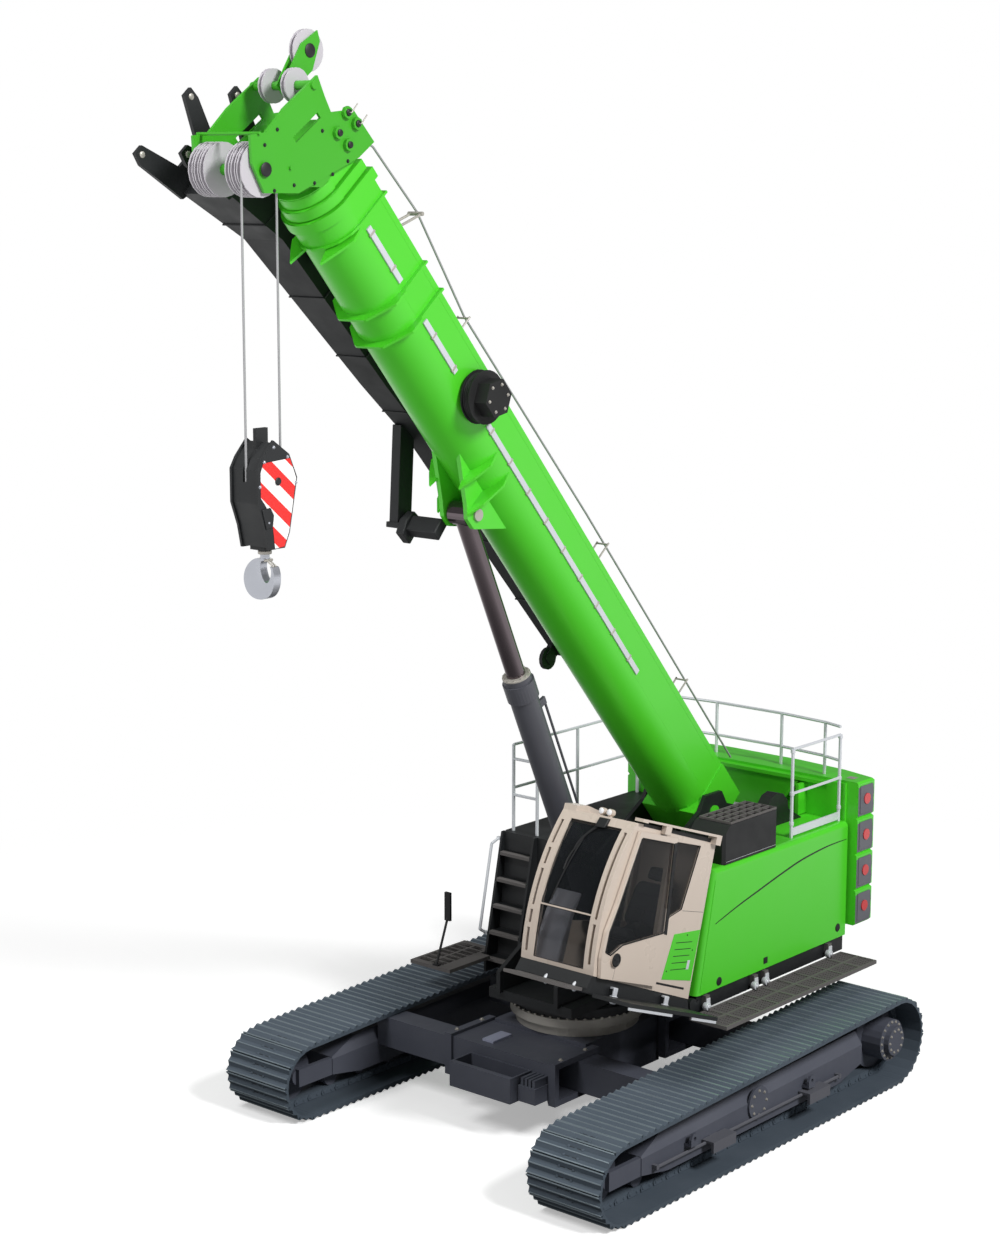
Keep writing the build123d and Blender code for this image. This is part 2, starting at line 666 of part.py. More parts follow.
with BuildPart() as air_grille:
    block(
        grille_x0 - grille_bar, grille_x1 + grille_bar / 2, grille_y0 - grille_bar, grille_y1 + grille_bar / 2,
        air_box_top_z + run_gap, air_box_top_z + grille_thick,
    )
    cell_x = (grille_x1 - grille_x0 + grille_bar) / grille_columns
    cell_y = (grille_y1 - grille_y0 + grille_bar) / grille_rows
    with Locations(((grille_x0 + grille_x1) / 2, (grille_y0 + grille_y1) / 2, air_box_top_z)):
        with GridLocations(cell_x, cell_y, grille_columns, grille_rows):
            Box(cell_x - grille_bar, cell_y - grille_bar, 4 * grille_thick, mode=Mode.SUBTRACT)
save(air_grille.part, "air_grille")

# Rounded cowl behind the air box
with BuildPart() as cowl:
    cowl_top = hood_top_z + 150
    plate(
        side(cowl_x1),
        (
            (-cowl_y + cowl_r, hood_top_z + run_gap),
            (-cowl_y + cowl_r, cowl_top),
            (-cowl_y + 0.87 * cowl_r, cowl_top + 0.5 * cowl_r),
            (-cowl_y + 0.5 * cowl_r, cowl_top + 0.87 * cowl_r),
            (-cowl_y, cowl_top + cowl_r),
            (-cowl_y - 0.5 * cowl_r, cowl_top + 0.87 * cowl_r),
            (-cowl_y - 0.87 * cowl_r, cowl_top + 0.5 * cowl_r),
            (-cowl_y - cowl_r, cowl_top),
            (-cowl_y - cowl_r - 260, hood_top_z + run_gap),
        ),
        cowl_x1 - cowl_x0,
    )
save(cowl.part, "rear_cowl")

# Right side: tank and valve box with a deck on top, and the outline of its two doors
with BuildPart() as right_box:
    block(right_x, right_inner_x, right_front_y, deck_rear_y, hood_low_z, right_top_z)
    fillet(right_box.edges().filter_by(Axis.Z).group_by(Axis.X)[0], 40)
    door_length = (deck_rear_y - right_front_y) / 2 - 120
    for k in range(2):
        y0 = right_front_y + 80 + k * (door_length + 80)
        z0, z1 = hood_low_z + 70, right_top_z - 90
        block(right_x - 1, right_x + groove_depth, y0, y0 + door_length, z0, z0 + door_groove, Mode.SUBTRACT)
        block(right_x - 1, right_x + groove_depth, y0, y0 + door_length, z1 - door_groove, z1, Mode.SUBTRACT)
        for y in (y0, y0 + door_length - door_groove):
            block(right_x - 1, right_x + groove_depth, y, y + door_groove, z0, z1, Mode.SUBTRACT)
save(right_box.part, "right_tank")

# Ladder at the right front: two cheeks, a back plate and five treads leaning back
ladder_top_y = right_front_y - run_gap
lean = (470 - ladder_front_y) / (right_top_z - 1180)
with BuildPart() as ladder:
    cheek = (
        (-ladder_front_y, ladder_low_z),
        (-ladder_front_y, 1180),
        (-470, right_top_z),
        (-ladder_top_y, right_top_z),
        (-ladder_top_y, ladder_low_z),
    )
    for x in (ladder_x0 + ladder_cheek, ladder_x1):
        plate(side(x), cheek, ladder_cheek)
    back = (
        (-ladder_front_y - 190, ladder_low_z),
        (-ladder_front_y - 190, 1180),
        (-ladder_top_y + 25, 2200),
        (-ladder_top_y + 25, right_top_z),
        (-ladder_top_y, right_top_z),
        (-ladder_top_y, ladder_low_z),
    )
    plate(side(ladder_x1 - ladder_cheek + 1), back, ladder_x1 - ladder_x0 - 2 * ladder_cheek + 2)
    for i in range(ladder_steps):
        z = ladder_low_z + 140 + i * ladder_pitch
        y = ladder_front_y + max(0, z - 1180) * lean
        block(
            ladder_x0 + ladder_cheek - 1, ladder_x1 - ladder_cheek + 1,
            y + 6, min(y + 215, ladder_top_y - 1), z, z + 32,
        )
save(ladder.part, "right_ladder")

# Bent tube handrail beside the ladder
with BuildPart() as ladder_rail:
    rail_x = ladder_x0 - 26
    points = [
        (rail_x, ladder_front_y + 60, 1440),
        (rail_x, ladder_front_y - 40, 1500),
        (rail_x, ladder_front_y + 160, 2440),
        (rail_x, ladder_front_y + 280, 2480),
    ]
    for a, b in zip(points[:-1], points[1:]):
        bar(a, b, rail_r)
    for x, y, z in (points[0], points[-1]):
        block(x - rail_r, ladder_x0 - run_gap, y - rail_r, y + rail_r, z - rail_r, z + rail_r)
save(ladder_rail.part, "ladder_handrail")

# Grating platform over the right track, carried by the ladder's cheek
platform_z = walkway_z
with BuildPart() as right_platform:
    block(-1920, ladder_x0 - run_gap, -550, 350, platform_z, platform_z + walkway_thick)
    block(ladder_x0 - run_gap, -1340, -550, ladder_front_y - 60, platform_z, platform_z + walkway_thick)
    with Locations((-1700, -100, platform_z)):
        with GridLocations(200, 110, 2, 7):
            Box(170, 86, 4 * walkway_thick, mode=Mode.SUBTRACT)
    block(-1560, ladder_x0 - run_gap, 210, 330, platform_z - 90, platform_z + walkway_thick)
save(right_platform.part, "right_platform")

# Mirror on a leaning post at the platform's front edge
with BuildPart() as mirror:
    foot_z0 = platform_z + walkway_thick + run_gap
    block(-1600, -1520, -545, -495, foot_z0, foot_z0 + 16)
    bar((-1560, -520, foot_z0 + 12), (-1560, -330, 1750), 14)
    block(-1600, -1520, -345, -315, 1700, 2020)
save(mirror.part, "front_mirror")

# Folding grating walkway beside the hood, on hinges
with BuildPart() as left_walkway:
    block(walkway_x0, walkway_x1, walkway_front_y, walkway_rear_y, walkway_z, walkway_z + walkway_thick)
    length = walkway_rear_y - walkway_front_y
    with Locations(((walkway_x0 + walkway_x1) / 2, (walkway_rear_y + walkway_front_y) / 2, walkway_z)):
        with GridLocations(225, length / 9, 2, 9):
            Box(195, length / 9 - 34, 4 * walkway_thick, mode=Mode.SUBTRACT)
    for y in (260, 1130, 1330, 2560):
        block(
            wing_left_x + run_gap, walkway_x0 - run_gap, y - 35, y + 35,
            walkway_z + 60, wing_top_z - 20,
        )
        disc(side(walkway_x0 + 30, y - 35, walkway_z + walkway_thick + 38), 34, 50, 8)
        block(walkway_x0, walkway_x0 + 60, y - 50, y + 10, walkway_z + walkway_thick - 5, walkway_z + 70)
save(left_walkway.part, "left_walkway")

# Counterweight slabs, stacked behind the frame, each with a grey cap and a red lamp at its ends
slab_rear = slab_front_y + slab_side_depth
with BuildPart() as slabs:
    for i in range(slab_count):
        low = slab_low_z + i * slab_pitch
        with BuildSketch(Plane.XY.offset(low)) as slab_face:
            with BuildLine():
                Polyline(
                    (-slab_half_x, slab_front_y),
                    (slab_half_x, slab_front_y),
                    (slab_half_x, slab_rear),
                    (0.72 * slab_half_x, slab_front_y + 0.86 * slab_middle_depth),
                    (0.3 * slab_half_x, slab_front_y + slab_middle_depth),
                    (-0.3 * slab_half_x, slab_front_y + slab_middle_depth),
                    (-0.72 * slab_half_x, slab_front_y + 0.86 * slab_middle_depth),
                    (-slab_half_x, slab_rear),
                    close=True,
                )
            make_face()
        extrude(slab_face.sketch, amount=slab_pitch - run_gap)
    rims = [e for e in slabs.edges() if abs(e.tangent_at(0).Z) < 0.1 and e.center().Y > slab_front_y + 1]
    chamfer(rims, slab_edge)
save(slabs.part, "counterweight_slabs")

cap_y0, cap_y1 = slab_front_y + 40, slab_rear - 30
cap_low, cap_high = slab_edge + 24, slab_pitch - slab_edge - 26
with BuildPart() as slab_caps:
    for x in (slab_half_x + run_gap + cap_thick, -slab_half_x - run_gap):
        for i in range(slab_count):
            z = slab_low_z + i * slab_pitch
            plate(
                side(x),
                (
                    (-cap_y0, z + cap_low),
                    (-cap_y0, z + cap_high),
                    (-cap_y1 + 20, z + cap_high),
                    (-cap_y1, z + slab_pitch * 0.62),
                    (-cap_y1 + 14, z + slab_pitch * 0.45),
                    (-cap_y1, z + slab_pitch * 0.28),
                    (-cap_y1 + 20, z + cap_low),
                ),
                cap_thick,
            )
save(slab_caps.part, "slab_caps")

with BuildPart() as slab_lamps:
    for x in (slab_half_x + 2 * run_gap + cap_thick + lamp_thick, -slab_half_x - 2 * run_gap - cap_thick):
        for i in range(slab_count):
            disc(side(x, (cap_y0 + cap_y1) / 2, slab_low_z + (i + 0.5) * slab_pitch), lamp_r, lamp_thick, 12)
save(slab_lamps.part, "slab_lamps")

# Tail frame: rear wall with a flanged top edge and ribs, and the shelf under the slabs
with BuildPart() as tail:
    block(
        -tail_half_x, tail_half_x, tail_wall_y, tail_wall_y + tail_wall_thick,
        wing_top_z + 20, tail_wall_top_z,
    )
    block(
        -shelf_half_x, shelf_half_x, tail_wall_y, slab_front_y + slab_side_depth,
        slab_low_z - 90, slab_low_z - run_gap,
    )
    for x in (-1, 1):
        block(
            x * 900, x * 940, tail_wall_y - 160, tail_wall_y, right_top_z + 150, tail_wall_top_z - 60,
        )
        plate(
            Plane(origin=(0, tail_wall_y, 0), x_dir=(1, 0, 0), z_dir=(0, -1, 0)),
            (
                (x * 560, right_top_z + 160),
                (x * 600, right_top_z + 160),
                (x * 860, tail_wall_top_z - 60),
                (x * 820, tail_wall_top_z - 60),
            ),
            60,
        )
    block(-1200, 1200, tail_wall_y - 60, tail_wall_y, tail_wall_top_z - 40, tail_wall_top_z)
save(tail.part, "tail_frame")

# Winches: two drums with flanges between the boom foot plates
with BuildPart() as winches:
    for y, z in winch_places:
        disc(side(winch_half_x, y, z), winch_drum_r, 2 * winch_half_x, 16)
        for x in (winch_half_x, -winch_half_x + winch_flange):
            disc(side(x, y, z), winch_flange_r, winch_flange, 24)
        disc(side(ear_inner_x - run_gap, y, z), winch_axle_r, 2 * (ear_inner_x - run_gap), 12)
save(winches.part, "winches")


def railing(path, base, top, posts, mid=0.5):
    """Two rails along a path and posts under them."""
    for height in (top, base + mid * (top - base)):
        for a, b in zip(path[:-1], path[1:]):
            bar((*a, height), (*b, height), rail_r)
    for x, y in posts:
        bar((x, y, base + run_gap), (x, y, top), post_r)


# Handrails from tube, on the left hood, behind the winches and on the right deck
left_path = ((1400, 1920), (1400, 2850))
with BuildPart() as rail:
    railing(left_path, hood_top_z, hood_top_z + rail_height, left_path)
    block(1392, 1408, 1920, 2850, hood_top_z + 20, hood_top_z + 105)
save(rail.part, "handrail_left")

slab_top_z = slab_low_z + slab_count * slab_pitch - run_gap
rear_path = ((1330, 2960), (1080, 3040), (450, 3110), (-450, 3110), (-1080, 3040), (-1330, 2960))
with BuildPart() as rail:
    railing(rear_path, slab_top_z, hood_top_z + rail_height + 60, rear_path[1:-1], 0.35)
save(rail.part, "handrail_rear")

right_path = ((-1400, 2850), (-1400, 1720), (-1400, 590))
with BuildPart() as rail:
    railing(right_path, right_top_z, right_top_z + rail_height, right_path)
    railing(((-1400, 590), (-1060, 590)), right_top_z, right_top_z + rail_height - 160, ((-1060, 590),))
save(rail.part, "handrail_right")

# Cab: shell with rounded front pillars, a roof rail, a visor and two lamps, tilted back about its bracket


def cab_profile(inset):
    """Side outline of the cab, set in by a wall, with its front edge as an arc."""
    with BuildLine() as outline:
        Polyline(
            (cab_length - inset, cab_front_low + inset),
            (inset, inset),
            (120 + inset, cab_height - inset),
            (cab_front_top - inset, cab_front_high - inset),
        )
        ThreePointArc(
            (cab_front_top - inset, cab_front_high - inset),
            (cab_bulge - inset, cab_bulge_w),
            (cab_length - inset, cab_front_low + inset),
        )
    make_face(outline.edges())


door_rear = ((870, 1570), (690, 75))
door_hole = ((760, 110), (1560, 110), (1620, 300), (1625, 500), (1560, 800), (1420, 1500), (900, 1520))
rear_window = ((370, 1555), (800, 1535), (720, 850), (690, 690), (640, 780), (460, 880))
with BuildPart() as cab:
    with BuildSketch(cab_side(cab_left_x)):
        cab_profile(0)
    extrude(amount=cab_left_x - cab_right_x)
    with BuildSketch(cab_side(cab_left_x - cab_wall)):
        cab_profile(cab_wall)
    extrude(amount=cab_left_x - cab_right_x - 2 * cab_wall, mode=Mode.SUBTRACT)
    plate(cab_side(cab_left_x + 5), door_hole, cab_wall + 20, Mode.SUBTRACT)
    plate(cab_side(cab_left_x + 5), rear_window, cab_wall + 20, Mode.SUBTRACT)
    right_window = ((170, 620), (1560, 470), (1610, 800), (1460, 1500), (230, 1530))
    plate(cab_side(cab_right_x + cab_wall + 5), right_window, cab_wall + 20, Mode.SUBTRACT)
    pane_x0, pane_x1 = cab_left_x - pillar_left, cab_right_x + pillar_right
    for low, high in ((pane_low, pane_split - pane_bar / 2), (pane_split + pane_bar / 2, pane_high)):
        pane = ((1450, low), (1900, low), (1900, high), (1450, high))
        plate(cab_side(pane_x0), pane, pane_x0 - pane_x1, Mode.SUBTRACT)
    for x, runs in (
        (cab_left_x - 48, ((170, 560), (610, 1500))),
        (cab_right_x + 76, ((150, 380), (430, 560), (610, 980), (1030, 1200), (1250, 1500))),
    ):
        for low, high in runs:
            slot = ((1450, low), (1900, low), (1900, high), (1450, high))
            plate(cab_side(x), slot, slot_width, Mode.SUBTRACT)
    roof_window = ((500, 1500), (1300, 1500), (1300, 1800), (500, 1800))
    plate(cab_side(pane_x0 - 20), roof_window, pane_x0 - pane_x1 - 40, Mode.SUBTRACT)
    roof = (cab_height - cab_front_high) / (cab_front_top - 120)
    rail_low = cab_height + 10
    plate(
        cab_side(cab_left_x + 62),
        ((120, rail_low - 60), (120, rail_low + 46), (1530, rail_low + 12), (1530, rail_low - 20),
         (1440, rail_low - 22), (1440, rail_low - 8), (210, rail_low + 18), (210, rail_low - 60)),
        door_rail_x + 62,
    )
    visor = ((1100, 1600), (1150, 1665), (1380, 1690), (1555, 1665), (1558, 1600))
    plate(cab_side(cab_right_x + visor_width), visor, visor_width)
    dy, dz = turned(1470, cab_front_high + 45, cab_tilt)
    for x in (1030, 1130):
        ahead = Plane(
            origin=(x, cab_y + dy, cab_z + dz), x_dir=(1, 0, 0),
            z_dir=(0, -cos(radians(cab_tilt)), sin(radians(cab_tilt))),
        )
        disc(ahead, roof_lamp_r, 60, 12)
        plate(
            cab_side(x + 12),
            ((1480, 1615), (1480, 1655), (1520, 1655), (1520, 1615)),
            24,
        )
save(cab.part, "cab_shell")

# Cab glass: windshield in two bent panes, right window, rear side window and roof window
mid_x = (cab_left_x + cab_right_x) / 2
pane_in = 18.0
with BuildPart() as cab_glass:
    for low, high in ((pane_low, pane_split - pane_bar / 2), (pane_split + pane_bar / 2, pane_high)):
        with BuildSketch(cab_side(pane_x0 - run_gap)) as pane_face:
            with BuildLine():
                front = ThreePointArc(
                    (cab_front_top - pane_in, cab_front_high),
                    (cab_bulge - pane_in, cab_bulge_w),
                    (cab_length - pane_in, cab_front_low),
                )
                back = ThreePointArc(
                    (cab_front_top - pane_in - glass_thick, cab_front_high),
                    (cab_bulge - pane_in - glass_thick, cab_bulge_w),
                    (cab_length - pane_in - glass_thick, cab_front_low),
                )
                Line(front @ 0, back @ 0)
                Line(front @ 1, back @ 1)
            make_face()
            with Locations((1600, (low + high) / 2)):
                Rectangle(500, high - low - 2 * run_gap, mode=Mode.INTERSECT)
        extrude(pane_face.sketch, amount=pane_x0 - pane_x1 - 2 * run_gap)
    for x, outline in ((cab_right_x + cab_wall / 2, right_window), (cab_left_x - cab_wall / 2, rear_window)):
        plate(cab_side(x), set_in(outline, run_gap), glass_thick)
    drop = (1300 - 500) * roof
    top = cab_height - (500 - 120) * roof - 20
    plate(
        cab_side(pane_x0 - 20 - run_gap),
        ((500 + run_gap, top), (1300 - run_gap, top - drop), (1300 - run_gap, top - drop - glass_thick),
         (500 + run_gap, top - glass_thick)),
        pane_x0 - pane_x1 - 40 - 2 * run_gap,
    )
save(cab_glass.part, "cab_glass")


def floor_at(forward):
    """Height of the cab floor above the cab's rear lower corner."""
    return cab_wall + (forward - cab_wall) * cab_front_low / (cab_length - 2 * cab_wall) + run_gap


# Operator's seat on its base, with its side consoles and their levers, and the front console
with BuildPart() as seat:
    plate(
        cab_side(mid_x + 230),
        ((430, floor_at(430)), (430, 400), (370, 420), (250, 1080), (270, 1240), (350, 1250), (390, 1060),
         (520, 540), (960, 560), (990, 500), (960, 430), (760, 400), (760, floor_at(760))),
        460,
    )
    for x in (mid_x + 320, mid_x - 230):
        plate(cab_side(x), ((480, 400), (480, 640), (900, 680), (960, 620), (700, 400)), 90)
        plate(cab_side(x - 30), ((860, 670), (850, 800), (890, 805), (900, 670)), 30)
    plate(
        cab_side(cab_right_x + 330),
        ((1500, floor_at(1500)), (1500, 560), (1440, 820), (1470, 830), (1560, 600), (1600, 300),
         (1600, floor_at(1600))),
        250,
    )
save(seat.part, "cab_seat")

# Bracket under the cab with its hinge arms, and the walkway beside it
dy, dz = tilt_y - cab_y, tilt_z - cab_z
t = radians(cab_tilt)
hinge_f, hinge_w = -dy * cos(t) + dz * sin(t), dy * sin(t) + dz * cos(t)
beam_x = cab_left_x - 6
walk_x = cab_left_x + 40
with BuildPart() as cab_bracket:
    plate(
        cab_side(beam_x),
        ((-60, -110), (0, -run_gap), (cab_length, cab_front_low - run_gap), (1750, -55), (1750, -100), (1500, -125)),
        beam_x - cab_right_x,
    )
    for x in (hinge_lug_x[0] - hinge_lug_thick - move_gap, hinge_lug_x[1] + 30 + move_gap):
        plate(
            cab_side(x),
            ((hinge_f - 20, hinge_w - 30), (hinge_f + 10, hinge_w + 40), (-58, -40), (0, -108), (-40, -112)),
            30,
        )
    disc(
        side(hinge_lug_x[0] - hinge_lug_thick - move_gap, tilt_y, tilt_z), hinge_barrel_r,
        hinge_lug_x[0] - hinge_lug_x[1] - hinge_lug_thick - 2 * move_gap, 16,
    )
    disc(
        side(hinge_lug_x[0], tilt_y, tilt_z), tilt_pin_r - pin_fit,
        hinge_lug_x[0] - hinge_lug_x[1] + hinge_lug_thick,
    )
    plate(cab_side(2000), ((150, -130), (150, -92), (1700, -92), (1700, -130)), 2000 - walk_x)
    for f in (450, 1350):
        plate(cab_side(walk_x + 1), ((f - 35, -128), (f - 35, -20), (f + 35, -20), (f + 35, -128)), walk_x + 1 - beam_x)
save(cab_bracket.part, "cab_platform")

# Light grating step before the windshield
with BuildPart() as front_step:
    plate(
        cab_side(cab_left_x - 60),
        ((1750 + run_gap, -95), (1750 + run_gap, -62), (2010, -62), (2010, -95)),
        cab_left_x - cab_right_x - 120,
    )
save(front_step.part, "cab_front_step")

# Sliding door: a frame as thick as the door, with its window cut and its round lock
door_x = cab_left_x + move_gap
door_outline = (door_rear[1], (1640, 62), (1700, 260), (1708, 520), (1640, 790), (1505, 1545), door_rear[0])
door_window = ((740, 620), (1400, 420), (1560, 300), (1655, 320), (1660, 520), (1598, 780), (1468, 1485), (905, 1505))
with BuildPart() as door:
    plate(cab_side(door_x + door_thick), door_outline, door_thick)
    plate(cab_side(door_x + door_thick + 1), door_window, door_thick + 2, Mode.SUBTRACT)
    for low, high in ((90, 104), (1530, 1544)):
        plate(cab_side(door_x), ((1180, low), (1260, low), (1260, high), (1180, high)), move_gap - run_gap)
    dy, dz = turned(1480, 265, cab_tilt)
    disc(side(door_x + door_thick + 22, cab_y + dy, cab_z + dz), 68, 24, 16)
save(door.part, "cab_door")

with BuildPart() as door_glass:
    plate(cab_side(door_x + door_thick / 2 + glass_thick / 2), set_in(door_window, run_gap), glass_thick)
save(door_glass.part, "door_glass")


def boom_shape(half, low):
    """Cross section of the boom: flat top and sides, the underside bent along narrow strips."""
    turns = [pi * k / boom_bends for k in range(boom_bends + 1)]
    under = [(half * cos(a), -boom_flat_depth - half * sin(a)) for a in turns]
    Polygon(*under, (-half, low), (half, low), align=None)


def boom_run(start, amount, half, low, mode=Mode.ADD):
    """Length of boom profile from a distance along the boom."""
    with BuildSketch(boom_cut(start)) as profile:
        boom_shape(half, low)
    extrude(profile.sketch, amount=amount, mode=mode)


# Boom sections, each a tube in the one before, with a collar at its tip that guides the next
sections = []
for i in range(section_count):
    half = boom_half_width - i * section_step
    start = foot_block - 20 if i == 0 else section_start + i * section_stagger
    tip = base_length + i * (tip_collar + move_gap)
    if i == section_count - 1:
        tip = head_tube_end
    sections.append((half, -i * section_step, start, tip))

ear_root_u = -boom_flat_depth - boom_half_width + 50
base_outer = boom_half_width - boom_wall / 2
with BuildPart() as boom_base:
    half, low, start, tip = sections[0]
    boom_run(start, tip - start, half, low)
    boom_run(tip - tip_collar, tip_collar, half + tip_rim, low + tip_rim)
    boom_run(tip - tip_guide, rib_thick, half + tip_rim, low + tip_rim)
    for k in range(2):
        boom_run(rib_s + k * rib_pitch, rib_thick, half + rib_height, low + 10)
    boom_run(start, tip - start - tip_pad, half - boom_wall, low - boom_wall, Mode.SUBTRACT)
    boom_run(tip - tip_guide, tip_guide + 10, half - section_step + pad_gap, low - section_step + pad_gap, Mode.SUBTRACT)
    plate(
        boom_side(foot_half_x),
        ((0, 6), (foot_block, 6), (foot_block, -foot_depth), (160, -foot_depth), (0, -540)),
        2 * foot_half_x,
    )
    for s, depth in horn_places:
        for x in (-1, 1):
            inner = [
                (x * base_outer * cos(pi * k / boom_bends), -boom_flat_depth - base_outer * sin(pi * k / boom_bends))
                for k in (3, 2, 1, 0)
            ]
            outer = [(x * 345, horn_tip_u), (x * 385, -600), (x * 300, -depth + 160), (x * 190, -depth)]
            plate(boom_cut(s), inner + outer, horn_thick)
    for x in (-1, 1):
        ear = boom_side(x * (boom_ear_x + boom_ear_thick / 2) + boom_ear_thick / 2)
        plate(
            ear,
            (
                (rod_pin_s - 420, ear_root_u),
                (rod_pin_s - 140, rod_pin_u - 60),
                (rod_pin_s - 70, rod_pin_u - 125),
                (rod_pin_s + 70, rod_pin_u - 125),
                (rod_pin_s + 190, rod_pin_u - 40),
                (rod_pin_s + 640, ear_root_u),
            ),
            boom_ear_thick,
        )
    for s in guide_places:
        for x in (-90, 60):
            plate(boom_side(x + 30), ((s - 60, -6), (s - 20, 150), (s + 20, 150), (s + 60, -6)), 30)
        bar((-60.0, *boom_point(s, 125)), (60.0, *boom_point(s, 125)), 22, 8)
    for x in (foot_half_x, -ear_inner_x - foot_ear_thick - 20):
        with Locations((x + (foot_ear_gap + foot_ear_thick + 20) / 2 - 1, *boom_point(pivot_s, pivot_u))):
            Cylinder(pivot_pin_r - pin_fit, foot_ear_gap + foot_ear_thick + 22, rotation=(0, 90, 0))
    with Locations((0, *boom_point(rod_pin_s, rod_pin_u))):
        Cylinder(lift_pin_r, 2 * (boom_ear_x + boom_ear_thick) + 2, rotation=(0, 90, 0), mode=Mode.SUBTRACT)
save(boom_base.part, "boom_base")

for i, name in ((1, "boom_section_2"), (2, "boom_section_3")):
    half, low, start, tip = sections[i]
    with BuildPart() as section:
        boom_run(start, tip - start, half, low)
        boom_run(tip - tip_collar + 10, tip_collar - 10, half + tip_rim, low + tip_rim)
        boom_run(start, tip - start - tip_pad, half - boom_wall, low - boom_wall, Mode.SUBTRACT)
        boom_run(
            tip - tip_guide, tip_guide + 10, half - section_step + pad_gap, low - section_step + pad_gap, Mode.SUBTRACT,
        )
    save(section.part, name)

# Boom head: the inner tube, two side plates, the sheave axles, guard bars and the single wheel's plates
head_plate = (
    (9225, 190), (9610, 170), (9770, -60), (9920, -30), (10110, 20), (10160, -460), (10150, -780),
    (10250, -930), (10060, -1075), (9780, -1130), (9510, -820), (9250, -50),
)
head_slot = ((9850, -560), (9910, -560), (9875, -190), (9815, -190))
head_lugs = ((9650, 80), (9500, 110), (9590, -120), (9430, -90))
top_s, top_u = top_sheave_places[0][:2]
rooster_plate = (
    (rooster_s + 70, rooster_u + 190), (rooster_s + 110, rooster_u - 40), (top_s + 50, top_u - 50),
    (top_s - 60, top_u - 50), (rooster_s - 150, rooster_u - 90), (rooster_s - 20, rooster_u + 150),
)
with BuildPart() as boom_head:
    half, low, start, tip = sections[3]
    boom_run(start, tip - start, half, low)
    plate(
        boom_side(head_plate_x - 10),
        ((9350, -20), (9560, 30), (9740, -120), (9700, -700), (9480, -700), (9350, -560)),
        2 * head_plate_x - 20,
    )
    for x in (head_plate_x, -head_plate_x + head_plate_thick):
        plate(boom_side(x), head_plate, head_plate_thick)
        plate(boom_side(x + 1), head_slot, head_plate_thick + 2, Mode.SUBTRACT)
    for x in (head_plate_x + lug_reach, -head_plate_x):
        for s, u in head_lugs:
            with BuildSketch(boom_side(x)) as lug:
                with Locations((s, u)):
                    RegularPolygon(jib_pin_r + 24, 8)
            extrude(lug.sketch, amount=lug_reach)
    for x in (head_plate_x, -head_plate_x + head_plate_thick):
        for s, u in head_lugs[:2]:
            with Locations((x - head_plate_thick / 2, *boom_point(s, u))):
                Cylinder(jib_pin_r, head_plate_thick + 4 * lug_reach, rotation=(0, 90, 0), mode=Mode.SUBTRACT)
    for s, u, r, sides in (
        (sheave_s, sheave_u, axle_r, 0),
        (top_s, top_u, axle_r - 10, 12),
        (sheave_s + 270, sheave_u + 150, 16, 6),
        (sheave_s - 190, sheave_u + 240, 16, 6),
    ):
        with BuildSketch(boom_side(head_plate_x + 20)) as axle:
            with Locations((s, u)):
                if sides:
                    RegularPolygon(r, sides)
                else:
                    Circle(r)
        extrude(axle.sketch, amount=2 * head_plate_x + 40)
    for x in (rooster_x + 46, rooster_x - 30):
        plate(boom_side(x), rooster_plate, 16)
    with BuildSketch(boom_side(rooster_x + 46)) as axle:
        with Locations((rooster_s, rooster_u)):
            RegularPolygon(axle_r - 20, 12)
    extrude(axle.sketch, amount=92)
save(boom_head.part, "boom_head")


def sheave(x, s, u, outer, groove, width, bore):
    """Grooved wheel across the boom: two rims and a lower middle, bored for its axle."""
    for offset, radius, thick in ((0, outer, 12), (12, groove, width - 24), (width - 12, outer, 12)):
        with BuildSketch(boom_side(x - offset)) as wheel:
            with Locations((s, u)):
                RegularPolygon(radius - run_gap, sheave_sides, major_radius=False)
        extrude(wheel.sketch, amount=thick)
    with BuildSketch(boom_side(x + 1)) as hole:
        with Locations((s, u)):
            RegularPolygon((bore + run_gap) / cos(pi / 16), 16)
    extrude(hole.sketch, amount=width + 2, mode=Mode.SUBTRACT)


# Sheaves under the tip, two small ones at its top and the single wheel above it
with BuildPart() as head_sheaves:
    for k in range(sheave_count):
        x = first_sheave_x + sheave_width / 2 - k * sheave_pitch - (0 if k < 3 else sheave_block_gap)
        sheave(x, sheave_s, sheave_u, sheave_r, groove_r, sheave_width, axle_r)
    for s, u, x in top_sheave_places:
        sheave(x + sheave_width / 2, s, u, top_sheave_r, top_groove_r, sheave_width, axle_r - 10)
    sheave(rooster_x + sheave_width / 2 - 1, rooster_s, rooster_u, rooster_r, rooster_r - 32, sheave_width - 2, axle_r - 20)
save(head_sheaves.part, "head_sheaves")

# Pale cable strips along the boom's left side, and the reel beside it
with BuildPart() as strips:
    for s0, s1 in strip_runs:
        plate(
            boom_side(boom_half_width + run_gap + strip_thick),
            ((s0, strip_u - strip_width / 2), (s1, strip_u - strip_width / 2), (s1, strip_u + strip_width / 2),
             (s0, strip_u + strip_width / 2)),
            strip_thick,
        )
save(strips.part, "boom_strips")

with BuildPart() as reel:
    for x, radius, thick, sides in (
        (boom_half_width + 30 + reel_thick, reel_r, 14, 28),
        (boom_half_width + 30 + reel_thick, reel_r - 60, reel_thick, 20),
        (boom_half_width + 44, reel_r, 14, 28),
        (boom_half_width + 30 + reel_thick + reel_cover_thick, reel_cover_r, reel_cover_thick, 6),
        (boom_half_width + 40, 90, 40 - run_gap, 8),
    ):
        with BuildSketch(boom_side(x)) as ring:
            with Locations((reel_s, reel_u)):
                RegularPolygon(radius, sides)
        extrude(ring.sketch, amount=thick)
save(reel.part, "cable_reel")

